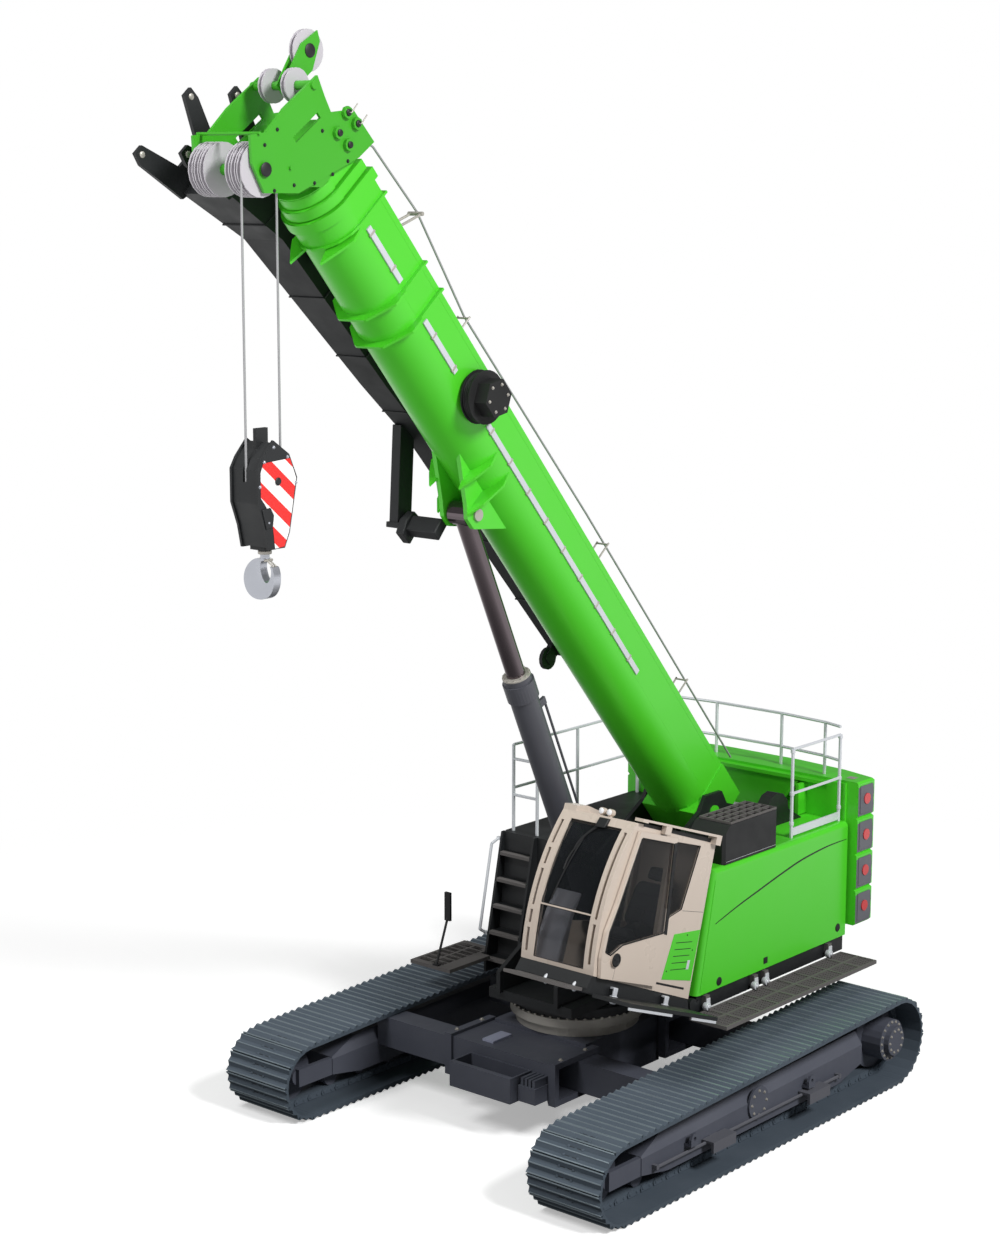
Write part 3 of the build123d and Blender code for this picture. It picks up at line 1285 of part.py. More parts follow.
# Lift cylinder
top_y, top_z = boom_point(rod_pin_s, rod_pin_u)
lift_angle = degrees(atan2(top_z - foot_z, foot_y - top_y))
lift_length = hypot(top_z - foot_z, foot_y - top_y)


def lift_side(x=0.0):
    """Side view plane of the lift cylinder, from its foot pin."""
    return side(x, foot_y, foot_z, lift_angle)


def lift_cut(d):
    """Plane square to the lift cylinder at a distance from its foot pin."""
    a = radians(lift_angle)
    return Plane(
        origin=(0, foot_y - d * cos(a), foot_z + d * sin(a)),
        x_dir=(1, 0, 0),
        z_dir=(0, -cos(a), sin(a)),
    )


with BuildPart() as barrel:
    disc(lift_cut(lift_eye_r - 10), barrel_r, barrel_length - lift_eye_r + 10)
    disc(lift_cut(barrel_length - gland_length), gland_r, gland_length - 60, 32)
    disc(lift_side(lift_eye_half_x), lift_eye_r, 2 * lift_eye_half_x, 24)
    disc(lift_cut(180), rod_r + run_gap, barrel_length, 0, Mode.SUBTRACT)
    for x in (90, -122):
        with BuildSketch(lift_cut(260)) as pipe:
            with Locations((x + 16, barrel_r + 14)):
                RegularPolygon(14, 6)
        extrude(pipe.sketch, amount=barrel_length - 620)
        plate(
            lift_side(x + 32),
            ((260, 60), (330, 60), (330, barrel_r + 26), (260, barrel_r + 26)), 32,
        )
        plate(
            lift_side(x + 32),
            ((barrel_length - 430, 60), (barrel_length - 350, 60),
             (barrel_length - 350, barrel_r + 26), (barrel_length - 430, barrel_r + 26)),
            32,
        )
save(barrel.part, "lift_barrel")

with BuildPart() as rod:
    disc(lift_cut(lift_length - rod_length), rod_r, rod_length - 60)
    with BuildSketch(lift_side(lift_eye_half_x)) as eye:
        with Locations((lift_length, 0)):
            RegularPolygon(lift_eye_r, 24)
    extrude(eye.sketch, amount=2 * lift_eye_half_x)
    with BuildSketch(lift_side(lift_eye_half_x + 1)) as bore:
        with Locations((lift_length, 0)):
            Circle(lift_pin_r)
    extrude(bore.sketch, amount=2 * lift_eye_half_x + 2, mode=Mode.SUBTRACT)
save(rod.part, "lift_rod")

with BuildPart() as lift_pins:
    with Locations((0, top_y, top_z)):
        Cylinder(lift_pin_r - pin_fit, 2 * (boom_ear_x + boom_ear_thick + 25), rotation=(0, 90, 0))
save(lift_pins.part, "lift_pin")

# Fly jib stowed along the right side of the boom: tapering body, forks and brackets
with BuildPart() as jib:
    for s, x, low, high in jib_sections:
        with BuildSketch(boom_cut(s)):
            with Locations(((x + jib_inner_x) / 2, (low + high) / 2)):
                Rectangle(jib_inner_x - x, high - low)
    loft(ruled=True)
    for x in (jib_inner_x, jib_outer_x + jib_fork_thick):
        plate(
            boom_side(x),
            ((9400, -560), (9460, -860), (jib_fork_s - 60, -1040), (jib_fork_s + 60, -1020),
             (jib_fork_s + 60, -910), (9700, -700), (9700, -400), (jib_fork_s + 60, -230),
             (jib_fork_s + 60, -120), (jib_fork_s - 60, -110), (9400, -260)),
            jib_fork_thick,
        )
    for s in jib_brackets:
        plate(
            boom_side(-boom_half_width - run_gap),
            ((s - 80, -430), (s + 80, -430), (s + 80, -270), (s - 80, -270)),
            -jib_inner_x - boom_half_width + 20,
        )
    plate(
        boom_side(-715),
        ((5400, -1090), (5480, -1090), (6200, -400), (6100, -400)),
        40,
    )
    with BuildSketch(boom_side(jib_inner_x - 60)) as tip_wheel:
        with Locations((2800, -560)):
            RegularPolygon(120, 16)
    extrude(tip_wheel.sketch, amount=40)
    plate(boom_side(jib_inner_x - 50), ((2720, -300), (2740, -600), (2860, -600), (2900, -300)), 60)
save(jib.part, "fly_jib")

# Hook block on two falls, and the hook
sheave_y, sheave_z = boom_point(sheave_s, sheave_u)
falls_x = first_sheave_x
fall_out = (groove_r - run_gap) / cos(pi / sheave_sides) + rope_r * cos(pi / 6)
with BuildPart() as falls:
    for y in (sheave_y - fall_out, sheave_y + fall_out):
        bar((falls_x, y, block_axis_z), (falls_x, y, sheave_z), rope_r)
save(falls.part, "rope_falls")

block_outline = (
    (-45, 7490), (144, 7358), (237, 7147), (196, 6946), (138, 6672), (76, block_low_z),
    (-124, block_low_z), (-164, 6737), (-239, 6947), (-240, 7243), (-180, 7343),
)
with BuildPart() as hook_block:
    for x, inset, thick in (
        (block_half_x, 0, cheek_thick),
        (block_half_x - cheek_thick, 16, 2 * (block_half_x - cheek_thick)),
        (-block_half_x + cheek_thick, 0, cheek_thick),
    ):
        plate(side(falls_x + x), set_in([(-sheave_y - y, z) for y, z in block_outline], inset), thick)
    for y in (-fall_out, fall_out):
        block(
            falls_x - 24, falls_x + 24, sheave_y + y - 28, sheave_y + y + 28,
            block_axis_z - run_gap, block_top_z + 20, Mode.SUBTRACT,
        )
    block(falls_x - 20, falls_x + 20, sheave_y - 100, sheave_y + 40, block_top_z - 90, block_top_z + 96)
    block(falls_x - 90, falls_x + 90, sheave_y - 90, sheave_y + 50, block_low_z - 20, block_low_z + 30)
save(hook_block.part, "hook_block")

with BuildPart() as hook:
    with BuildSketch(Plane(origin=(falls_x, sheave_y + hook_thick / 2, 0), x_dir=(1, 0, 0), z_dir=(0, -1, 0))) as hook_face:
        with BuildLine():
            Spline((-42, 6440), (-160, 6385), (-228, 6260), (-180, 6120), (-40, 6072), (100, 6125), (152, 6240), (130, 6372))
            Line((130, 6372), (100, 6378))
            Spline((100, 6378), (112, 6300), (57, 6228), (-1, 6290), (42, 6440))
            Line((42, 6440), (-42, 6440))
        make_face()
    extrude(hook_face.sketch, amount=hook_thick)
    disc(Plane(origin=(falls_x, sheave_y, 6420)), hook_shank_r, block_low_z - 20 - run_gap - 6420)
save(hook.part, "hook")

print("built")
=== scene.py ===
import json
from math import atan2, cos, hypot, pi, radians, sin, sqrt

import bmesh
import bpy
import numpy as np
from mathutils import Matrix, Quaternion, Vector


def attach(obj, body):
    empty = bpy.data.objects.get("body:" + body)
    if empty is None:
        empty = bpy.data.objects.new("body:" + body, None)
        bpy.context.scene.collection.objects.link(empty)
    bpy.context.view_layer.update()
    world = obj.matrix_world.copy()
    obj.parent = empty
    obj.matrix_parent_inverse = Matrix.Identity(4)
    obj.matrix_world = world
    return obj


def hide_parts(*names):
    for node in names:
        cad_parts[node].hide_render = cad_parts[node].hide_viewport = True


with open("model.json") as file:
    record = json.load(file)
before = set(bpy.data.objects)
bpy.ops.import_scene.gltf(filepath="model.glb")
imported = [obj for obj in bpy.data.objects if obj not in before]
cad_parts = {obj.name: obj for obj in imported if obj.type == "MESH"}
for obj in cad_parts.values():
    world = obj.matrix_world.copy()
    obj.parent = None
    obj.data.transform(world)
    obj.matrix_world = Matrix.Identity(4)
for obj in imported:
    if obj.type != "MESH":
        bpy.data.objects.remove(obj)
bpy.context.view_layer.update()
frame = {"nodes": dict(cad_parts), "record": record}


# Shader helpers

def rgb(hex_text):
    """Linear colour of an sRGB hex value."""
    parts = [int(hex_text[i:i + 2], 16) / 255 for i in (0, 2, 4)]
    return tuple(c / 12.92 if c <= 0.04045 else ((c + 0.055) / 1.055) ** 2.4 for c in parts) + (1.0,)


def add(tree, kind, links=None, **values):
    """Node of a kind, with its properties or sockets set and linked."""
    node = tree.nodes.new(kind)
    for key, value in values.items():
        if key in node.bl_rna.properties:
            setattr(node, key, value)
        else:
            node.inputs[key.replace("_", " ")].default_value = value
    for key, source in (links or {}).items():
        socket = node.inputs[key]
        if isinstance(source, (int, float)):
            socket.default_value = source
        else:
            tree.links.new(source, socket)
    return node


def maths(tree, operation, *sources):
    """Result of one arithmetic step on sockets or numbers."""
    return add(tree, "ShaderNodeMath", dict(enumerate(sources)), operation=operation).outputs[0]


def shaders_mixed(tree, factor, first, second):
    """Shader that goes from the first to the second as the factor goes from 0 to 1."""
    return add(tree, "ShaderNodeMixShader", {0: factor, 1: first, 2: second}).outputs[0]


def place(tree):
    """Object coordinates in metres."""
    return add(tree, "ShaderNodeTexCoord").outputs["Object"]


def noise(tree, size, detail=3.0):
    """Noise whose blotches are about size metres wide."""
    node = add(tree, "ShaderNodeTexNoise", {"Vector": place(tree)}, Scale=1 / size, Detail=detail)
    return node.outputs["Fac"]


def ramp(tree, source, low, high, a, b):
    """Value that goes from a to b as the source goes from low to high."""
    node = add(tree, "ShaderNodeMapRange", {"Value": source})
    for key, value in (("From Min", low), ("From Max", high), ("To Min", a), ("To Max", b)):
        node.inputs[key].default_value = value
    return node.outputs["Result"]


def mixed(tree, factor, first, second):
    """Colour between two hex colours by a factor socket."""
    node = add(tree, "ShaderNodeMix", {"Factor": factor}, data_type="RGBA")
    node.inputs[6].default_value = rgb(first)
    node.inputs[7].default_value = rgb(second)
    return node.outputs[2]


def shader(name, metallic=0.0, coat=0.0, ior=1.5):
    """Empty material with one main shader."""
    material = bpy.data.materials.new(name)
    material.use_nodes = True
    tree = material.node_tree
    main = tree.nodes["Principled BSDF"]
    main.inputs["Metallic"].default_value = metallic
    main.inputs["Coat Weight"].default_value = coat
    main.inputs["Coat Roughness"].default_value = 0.08
    main.inputs["IOR"].default_value = ior
    return material, tree, main


def grained(tree, main, size, strength):
    """Fine grain in the surface, a tenth of a millimetre deep."""
    bump = add(tree, "ShaderNodeBump", {"Height": noise(tree, size)}, Strength=strength, Distance=0.0001)
    tree.links.new(bump.outputs[0], main.inputs["Normal"])


def paint(name, colour, dust, rough, coat=0.0, metallic=0.0, grain=0.004, dust_share=0.25, ior=1.5):
    """Sprayed or moulded finish: dust in wide patches, uneven gloss, a fine grain in the surface."""
    material, tree, main = shader(name, metallic, coat, ior)
    share = ramp(tree, noise(tree, 0.7, 4.0), 0.4, 0.8, 0.0, dust_share)
    tree.links.new(mixed(tree, share, colour, dust), main.inputs["Base Color"])
    tree.links.new(ramp(tree, noise(tree, 0.3), 0.3, 0.7, *rough), main.inputs["Roughness"])
    grained(tree, main, grain, 0.25)
    return material


def warning_stripes():
    """Reflective sheet: bands that fall to the rear, red where (z + slope * y - start) modulo pitch < red."""
    material, tree, main = shader("reflective_sheet")
    slope, pitch, start, red = 0.85, 0.28, 2.745, 0.137
    split = add(tree, "ShaderNodeSeparateXYZ", {"Vector": place(tree)})
    along = maths(tree, "MULTIPLY_ADD", split.outputs["Y"], slope, split.outputs["Z"])
    turn = maths(tree, "FLOORED_MODULO", maths(tree, "SUBTRACT", along, start), pitch)
    is_red = maths(tree, "LESS_THAN", turn, red)
    tree.links.new(mixed(tree, is_red, "F4F2F0", "E8231F"), main.inputs["Base Color"])
    main.inputs["Roughness"].default_value = 0.3
    grained(tree, main, 0.004, 0.4)
    return material


def tinted_glass():
    """Grey tinted glass: dark, mirror smooth, with more than half of the light straight through."""
    material, tree, main = shader("tinted_glass", ior=1.3)
    main.inputs["Base Color"].default_value = rgb("1E2124")
    main.inputs["Roughness"].default_value = 0.03
    main.inputs["Alpha"].default_value = 0.42
    return material


# Finishes: clean colour, dusty colour, smoothest and roughest patches, clear coat

materials = {
    # Bright grass green, clean and evenly glossy
    "green_paint": paint("gloss_green_paint", "4CCB26", "54C632", (0.3, 0.38), 0.1),
    # The same green paint, made darker as painted shade, for the boom's head
    "green_paint_with_painted_shade": paint("gloss_green_paint_with_painted_shade", "3FA722", "45A52B", (0.3, 0.38), 0.1),
    # Blue-grey of the undercarriage, half dusty
    "frame_grey": paint("satin_slate_paint", "4E515C", "5C5F69", (0.42, 0.6), dust_share=0.5),
    # Near black of the upper frame, the tank and the jib
    "dark_paint": paint("satin_black_paint", "191B1D", "242628", (0.45, 0.6), dust_share=0.5),
    # Warm dark grey of the lift cylinder
    "barrel_grey": paint("satin_graphite_paint", "4A4B52", "55565D", (0.35, 0.5), 0.1),
    # Warm light beige of the cab, with a soft shine
    "beige_paint": paint("gloss_beige_paint", "CDBFB2", "C2B4A7", (0.25, 0.36), 0.2),
    # Dull rough iron inside the hood
    "engine_iron": paint("cast_engine_iron", "3A3B3D", "4A4A48", (0.6, 0.8), grain=0.01),
    # Dull black of rubber and plastic
    "black_plastic": paint("black_moulded_plastic", "131416", "1D1E20", (0.45, 0.6), grain=0.0012),
    # Warm grey turned faces and bolt heads
    "ring_steel": paint("turned_steel", "B4B0A8", "9A968E", (0.3, 0.5), metallic=0.4),
    # Blue-grey of rolled shoes, dusty, with little glint
    "track_steel": paint("worn_track_steel", "505A64", "606973", (0.45, 0.65), metallic=0.1, grain=0.006,
                         dust_share=0.6, ior=1.25),
    # Weathered zinc of the walkways, brown-grey and flat
    "grating_steel": paint("galvanised_grating", "646160", "737070", (0.5, 0.7), metallic=0.05, ior=1.2),
    # Pale zinc of the railings
    "rail_steel": paint("galvanised_tube", "D4D7DC", "BFC3C9", (0.35, 0.5), metallic=0.2),
    # Dark mirror of the cylinder's rod
    "chrome_rod": paint("hard_chrome", "6E6468", "5E585C", (0.12, 0.2), metallic=0.9),
    # Off-white of the sheaves, waxy
    "sheave_plastic": paint("cast_nylon", "BEBAC0", "A9A5AB", (0.35, 0.5)),
    # Grey strands with a dull glint
    "wire_rope": paint("stranded_wire", "A9A9AB", "858587", (0.35, 0.5), metallic=0.4, grain=0.01),
    # Bright forged steel with sharp glints
    "hook_steel": paint("forged_hook_steel", "BDC0C8", "9699A0", (0.22, 0.35), 0.1, metallic=0.75),
    # Charcoal cloth with no shine
    "seat_fabric": paint("woven_seat_fabric", "2B2C2F", "3A3B3E", (0.8, 0.95), grain=0.003),
    # Middle grey of the slabs' end caps and the track steps
    "cap_grey": paint("satin_light_grey_paint", "5D5E65", "686970", (0.4, 0.55)),
    # Clear deep red with a wet shine
    "red_lens": paint("red_polycarbonate", "C8161C", "B01318", (0.1, 0.2), 0.5, grain=0.002),
    # Pale grey cable strips
    "strip_plastic": paint("grey_cable_sheath", "C9CCD1", "A9ADB2", (0.4, 0.55), grain=0.002),
    # Flat black of the cable reel
    "reel_paint": paint("satin_dark_reel_paint", "0E0F10", "161719", (0.6, 0.75)),
    # Cool light grey of the front console, seen through the glass
    "console_grey": paint("grey_moulded_plastic", "DADDEA", "C4C7D4", (0.45, 0.6), grain=0.0015),
    # White lamp fronts with a hard shine
    "lamp_glass": paint("clear_lamp_glass", "F1F2F4", "DADCE0", (0.05, 0.12), 0.8, grain=0.01),
    # Clean mirror
    "mirror_glass": paint("silvered_glass", "D5D8DC", "C8CBCF", (0.02, 0.05), metallic=1.0, grain=0.02),
    # Rib edges rubbed bright by the ground, made lighter still as painted highlight
    "worn_steel_with_painted_highlight": paint("polished_grouser_steel_with_painted_highlight", "8E9BA3", "6E7A82", (0.3, 0.5), metallic=0.5, grain=0.006),
    # Pale bluish zinc of the carbody's step plates
    "step_steel": paint("pale_galvanised_plate", "A9AEC4", "9398A8", (0.4, 0.55), metallic=0.2, grain=0.006),
    # Dark see-through grey of the cab's panes
    "tinted_glass": tinted_glass(),
    # Red and white bands of the hook block
    "stripe_paint": warning_stripes(),
}
# CAD pieces that the photo shows in another finish than their slot's own
seen_finishes = {
    "air_grille": "grating_steel", "carbody_steps": "step_steel", "track_steps_left": "cap_grey",
    # The boom's head takes the green paint darkened as painted shade
    "track_steps_right": "cap_grey", "boom_head": "green_paint_with_painted_shade",
}

for entry in frame["record"]["subparts"]:
    name = entry["node"]
    finish = seen_finishes.get(name, entry["material_slot"])
    frame["nodes"][name].data.materials.clear()
    frame["nodes"][name].data.materials.append(materials[finish])


# Places on the crane, in metres

boom_lean, boom_foot_y, boom_foot_z = radians(49.2), 2.438, 2.924
cab_lean, cab_corner_y, cab_corner_z = radians(20.0), -0.06, 1.42


def xyz(x, y, z):
    """Points from whole rows or single values of x, y and z."""
    return np.stack(np.broadcast_arrays(x, y, z), axis=-1).astype(float)


def boom_at(s, u, x):
    """Points at a distance along the boom, a height from its top face and a place across."""
    ahead, rise = cos(boom_lean), sin(boom_lean)
    return xyz(x, boom_foot_y - s * ahead + u * rise, boom_foot_z + s * rise + u * ahead)


def cab_at(f, w, x):
    """Points ahead of and above the cab's rear lower corner, along the tilted cab's own edges."""
    ahead, rise = cos(cab_lean), sin(cab_lean)
    return xyz(x, cab_corner_y - f * ahead + w * rise, cab_corner_z + f * rise + w * ahead)


def level_at(y, z, x):
    """Points of a side view, given a place across the machine."""
    return xyz(x, y, z)


def deck_at(y, x, z):
    """Points of a deck that runs along the machine, given a height."""
    return xyz(x, y, z)


def front_at(x, z, y):
    """Points of a front view, given a place along the machine."""
    return xyz(x, y, z)


def circle(count, radius):
    """Two rows for points spaced evenly round a circle: radius * cos a and radius * sin a."""
    turns = np.arange(count) * 2 * pi / count
    return radius * np.cos(turns), radius * np.sin(turns)


def oblong(a0, a1, b0, b1):
    """Outline of a rectangle between two pairs of edges."""
    return [(a0, b0), (a1, b0), (a1, b1), (a0, b1)]


# Surfaces, each as its points, its four-sided faces and its end faces

def band(grid, closed=False):
    """Faces between neighbouring rings of points; the run of rings is closed too, or has end faces.

    The face at (i, j) has the corners (i, j), (i, j + 1), (i + 1, j + 1) and (i + 1, j).
    """
    rows, columns = grid.shape[:2]
    i, j = np.meshgrid(np.arange(rows if closed else rows - 1), np.arange(columns), indexing="ij")
    here, ahead, turn = i * columns, (i + 1) % rows * columns, (j + 1) % columns
    quads = np.stack([here + j, here + turn, ahead + turn, ahead + j], axis=-1).reshape(-1, 4)
    ends = [] if closed else [np.arange(columns)[::-1], np.arange(columns) + (rows - 1) * columns]
    return grid.reshape(-1, 3), quads, ends


def tube(path, radius, sides=8, closed=False):
    """Circle carried along a path without twist: point = path + radius * (cos a * across + sin a * up)."""
    path = np.asarray(path, float)
    steps = np.roll(path, -1, 0) - path
    if not closed:
        steps[-1] = steps[-2]
    ahead = steps / np.linalg.norm(steps, axis=1)[:, None]
    ways = ahead + (np.roll(ahead, 1, 0) if closed else np.vstack([ahead[:1], ahead[:-1]]))
    ways /= np.linalg.norm(ways, axis=1)[:, None]
    up = np.array([0.0, 0.0, 1.0]) if abs(ways[0][2]) < 0.9 else np.array([1.0, 0.0, 0.0])
    ups = np.empty_like(ways)
    for index, way in enumerate(ways):
        up = up - way * (up @ way)
        up /= np.linalg.norm(up)
        ups[index] = up
    across = np.cross(ways, ups)
    a, b = circle(sides, radius)
    grid = path[:, None] + a[:, None] * across[:, None] + b[:, None] * ups[:, None]
    return band(grid, closed)


def lathe(centre, axis, profile, sides):
    """Turned form: point = centre + height * axis + radius * (cos a * u + sin a * v) along a profile."""
    axis = np.array(axis, float) / np.linalg.norm(axis)
    u = np.cross(axis, [0.0, 0.0, 1.0] if abs(axis[2]) < 0.9 else [1.0, 0.0, 0.0])
    u /= np.linalg.norm(u)
    v = np.cross(axis, u)
    a, b = circle(sides, 1.0)
    radius, height = np.array(profile, float).T[:, :, None, None]
    return band(np.array(centre) + height * axis + radius * (a[:, None] * u + b[:, None] * v))


def prism(outline, at, low, high):
    """Flat outline set down by a placing function, given a thickness from low to high."""
    a, b = np.array(outline, float).T
    return band(np.stack([at(a, b, low), at(a, b, high)]))


def plates(outline, at, *spans):
    """The same flat outline several times, each with its own thickness."""
    return [prism(outline, at, low, high) for low, high in spans]


def smooth_path(points, count):
    """Curve through points: each span is the cubic p = a + b t + c t^2 + d t^3 of its four nearest points."""
    p = np.asarray(points, float)
    p = np.vstack([2 * p[0] - p[1], p, 2 * p[-1] - p[-2]])
    t = np.linspace(0, len(p) - 3 - 1e-9, count)
    span, t = t.astype(int), (t % 1)[:, None]
    a, b, c, d = (p[span + k] for k in range(4))
    bend, twist = 2 * a - 5 * b + 4 * c - d, 3 * b - a - 3 * c + d
    return 0.5 * (2 * b + (c - a) * t + bend * t ** 2 + twist * t ** 3)


def bolts(places, axis, radius, height):
    """Bolt heads: a six-sided head with a chamfered top, on a flat washer."""
    profile = np.array([(1.5, 0), (1.5, 0.15), (1.0, 0.16), (1.0, 0.8), (0.82, 1.0)]) * (radius, height)
    return [lathe(place, axis, profile, 6) for place in places]


# Angles from which an edge is drawn sharp, and from which it is bevelled
sharp_edge, bevelled_edge = radians(40), radians(35)


def piece(name, parts, material, body, bevel=0.0, smooth=True):
    """One object of several surfaces, with its material, its body and soft edges."""
    points, faces, count = [], [], 0
    for surface, quads, ends in parts:
        faces += (quads + count).tolist() + [(end + count).tolist() for end in ends]
        points.append(surface)
        count += len(surface)
    mesh = bpy.data.meshes.new(name)
    mesh.from_pydata(np.vstack(points).tolist(), [], faces)
    work = bmesh.new()
    work.from_mesh(mesh)
    bmesh.ops.recalc_face_normals(work, faces=work.faces)
    work.to_mesh(mesh)
    work.free()
    if smooth:
        mesh.shade_smooth()
        mesh.set_sharp_from_angle(angle=sharp_edge)
    mesh.materials.append(materials[material])
    obj = bpy.data.objects.new(name, mesh)
    bpy.context.collection.objects.link(obj)
    if bevel:
        edge = obj.modifiers.new("soft_edges", "BEVEL")
        edge.width = bevel
        edge.segments = 2
        edge.limit_method = "ANGLE"
        edge.angle_limit = bevelled_edge
    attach(obj, body)
    return obj


# Hood, winches, slew ring and ladder

def hood_trim():
    """Hood: thin dark line that sweeps up to the rear, plugs, catch and the bead on its front edge."""
    side, count = 1.5, 60
    line = smooth_path([(0.40, 2.113), (0.80, 2.215), (1.144, 2.29), (1.534, 2.374), (1.933, 2.45),
                        (2.26, 2.487), (2.55, 2.505), (2.875, 2.505)], count)
    half = 0.010 * np.sin(np.linspace(0.25, pi - 0.1, count)) ** 0.5
    (y, z), inner, outer = line.T, side + 0.0003, side + 0.0015
    corners = ((inner, z - half), (outer, z - half), (outer, z + half), (inner, z + half))
    stripe = np.stack([xyz(x, y, height) for x, height in corners], axis=1)
    piece("hood_stripe", [band(stripe)], "black_plastic", "upper", smooth=False)
    dome = ((0.046, 0.0), (0.046, 0.004), (0.042, 0.007), (0.030, 0.0085), (0.001, 0.009))
    plugs = [lathe((side, y, z), (1, 0, 0), dome, 24) for y, z in ((0.482, 1.473), (2.737, 1.518))]
    piece("hood_plugs", plugs, "black_plastic", "upper")
    catch = prism(oblong(1.295, 1.365, 1.455, 1.525), level_at, side, side + 0.008)
    piece("hood_catch", [catch], "black_plastic", "upper", bevel=0.004)
    bead = smooth_path([(side, 0.148, 1.44), (side, 0.392, 2.58)], 12)
    piece("hood_edge_bead", [tube(bead, 0.005)], "green_paint", "upper")


def coil(y, z):
    """Turns of rope on a drum: radius + 0.4 pitch * |sin(pi x / pitch)| along the axis."""
    half_width, radius, pitch = 0.285, 0.188, 0.024
    x = np.linspace(-half_width, half_width, int(2 * half_width / pitch * 6))
    waves = radius + 0.4 * pitch * np.abs(np.sin(pi * (x + half_width) / pitch))
    return lathe((0, y, z), (1, 0, 0), np.column_stack([waves, x]), 40)


def winch_trim():
    """Winches: rope on both drums and the bolts of their left flanges."""
    drums = ((2.33, 1.92), (2.645, 2.54))
    piece("winch_rope", [coil(y, z) for y, z in drums], "wire_rope", "upper")
    a, b = circle(12, 0.2)
    places = np.vstack([xyz(0.332, y + a, z + b) for y, z in drums])
    piece("winch_bolts", bolts(places, (1, 0, 0), 0.011, 0.012), "ring_steel", "upper")


def undercarriage_bolts():
    """Bolt heads round the slew ring's lower flange, and on the carbody's deck."""
    ring = xyz(*circle(48, 0.706), 1.08)
    piece("ring_bolts", bolts(ring, (0, 0, 1), 0.015, 0.016), "ring_steel", "carbody")
    deck = [(x, y, 0.8725) for x in (-0.705, 0.705) for y in (-1.15, -0.75, 0.75, 1.15)]
    piece("carbody_bolts", bolts(deck, (0, 0, 1), 0.018, 0.018), "ring_steel", "carbody")


def ladder_nosings():
    """Ladder treads: folded metal nosings on the five steps, which follow the ladder's lean."""
    nosings = []
    for z in 1.15 + 0.29 * np.arange(5):
        y = 0.18 + max(0.0, z - 1.18) * 0.2101
        fold = np.array([(0.006, 0.034), (-0.003, 0.03), (-0.003, -0.004), (0.0045, -0.004),
                         (0.0045, 0.0325), (0.05, 0.0325), (0.05, 0.036)]) + (y, z)
        nosings.append(prism(fold, level_at, -1.448, -1.032))
    piece("step_nosings", nosings, "grating_steel", "upper", smooth=False)


hood_trim()
winch_trim()
undercarriage_bolts()
ladder_nosings()


# Hook block and hook

block_y = -4.8075


def block_side(y, z, x):
    """Points of the block's side view, y measured from the middle of the falls."""
    return xyz(x, block_y + y, z)


def hook_block_trim():
    """Hook block: striped sheets, cover bolts, side plates and axle ends on both cheeks."""
    sheet = [(-0.17, 7.30), (0.15, 7.32), (0.222, 7.145), (0.184, 6.95), (0.128, 6.68), (0.07, 6.553),
             (-0.045, 6.545), (-0.075, 6.80), (-0.15, 6.93), (-0.205, 7.0), (-0.205, 7.22)]
    stripes = plates(sheet, block_side, (0.4753, 0.4768), (0.1232, 0.1247))
    piece("warning_stripes", stripes, "stripe_paint", "hook_block", smooth=False)
    y, z = np.array([(-0.045, 7.43), (0.12, 7.335), (-0.16, 7.31), (-0.215, 7.10), (0.218, 7.10),
                     (-0.12, 6.78)]).T
    heads = []
    for x, way in ((0.475, 1), (0.125, -1)):
        heads += bolts(block_side(y, z, x), (way, 0, 0), 0.011, 0.014)
    piece("block_bolts", heads, "hook_steel", "hook_block")
    plate = [(-0.20, 6.90), (-0.10, 6.91), (-0.06, 6.84), (-0.075, 6.74), (-0.15, 6.72)]
    sides = plates(plate, block_side, (0.477, 0.487), (0.113, 0.123))
    piece("block_side_plates", sides, "dark_paint", "hook_block", bevel=0.004)
    axle_end = ((0.034, 0.0), (0.034, 0.008), (0.028, 0.012), (0.001, 0.012))
    ends = [lathe((x, block_y, 7.13), (way, 0, 0), axle_end, 24) for x, way in ((0.4768, 1), (0.1232, -1))]
    piece("block_axle_ends", ends, "dark_paint", "hook_block")


def hook_trim():
    """Hook: spring catch of two bars on a cross pin, and the collar of its swivel."""
    bar = smooth_path([(0.345, block_y, 6.425), (0.372, block_y, 6.405), (0.40, block_y, 6.388),
                       (0.424, block_y, 6.374)], 14)
    bars = [tube(bar + (0, side, 0), 0.008, 10) for side in (0.016, -0.016)]
    pin = tube([(0.345, block_y - 0.046, 6.425), (0.345, block_y + 0.046, 6.425)], 0.011, 12)
    piece("hook_catch", bars + [pin], "ring_steel", "hook")
    collar = ((0.060, 0.0), (0.062, 0.004), (0.062, 0.026), (0.055, 0.034), (0.043, 0.036))
    piece("hook_collar", [lathe((0.3, block_y, 6.478), (0, 0, 1), collar, 28)], "ring_steel", "hook")


hook_block_trim()
hook_trim()


# Cab

# Places across of the cab's left skin and the door's outside
cab_skin, door_face = 1.5, 1.5482


def windshield(w, x, out):
    """Point on the bulged windshield at a height w: its side view is an arc of a circle."""
    middle_f, middle_w, reach = -0.3913, 0.6499, 2.1522 + out
    return cab_at(middle_f + np.sqrt(np.maximum(reach ** 2 - (w - middle_w) ** 2, 0.0)), w, x)


def gasket(corners, at, radius):
    """Rubber bead round an opening: straight sides, cut short at 6 and 2 percent from each corner."""
    here = np.array(corners, float)
    far, near = 0.06, 0.02
    before, after = np.roll(here, 1, 0) - here, np.roll(here, -1, 0) - here
    steps = [here + far * before, here + near * before, here + near * after, here + far * after]
    path = np.stack(steps, axis=1)
    return tube(at(*path.reshape(-1, 2).T), radius, closed=True)


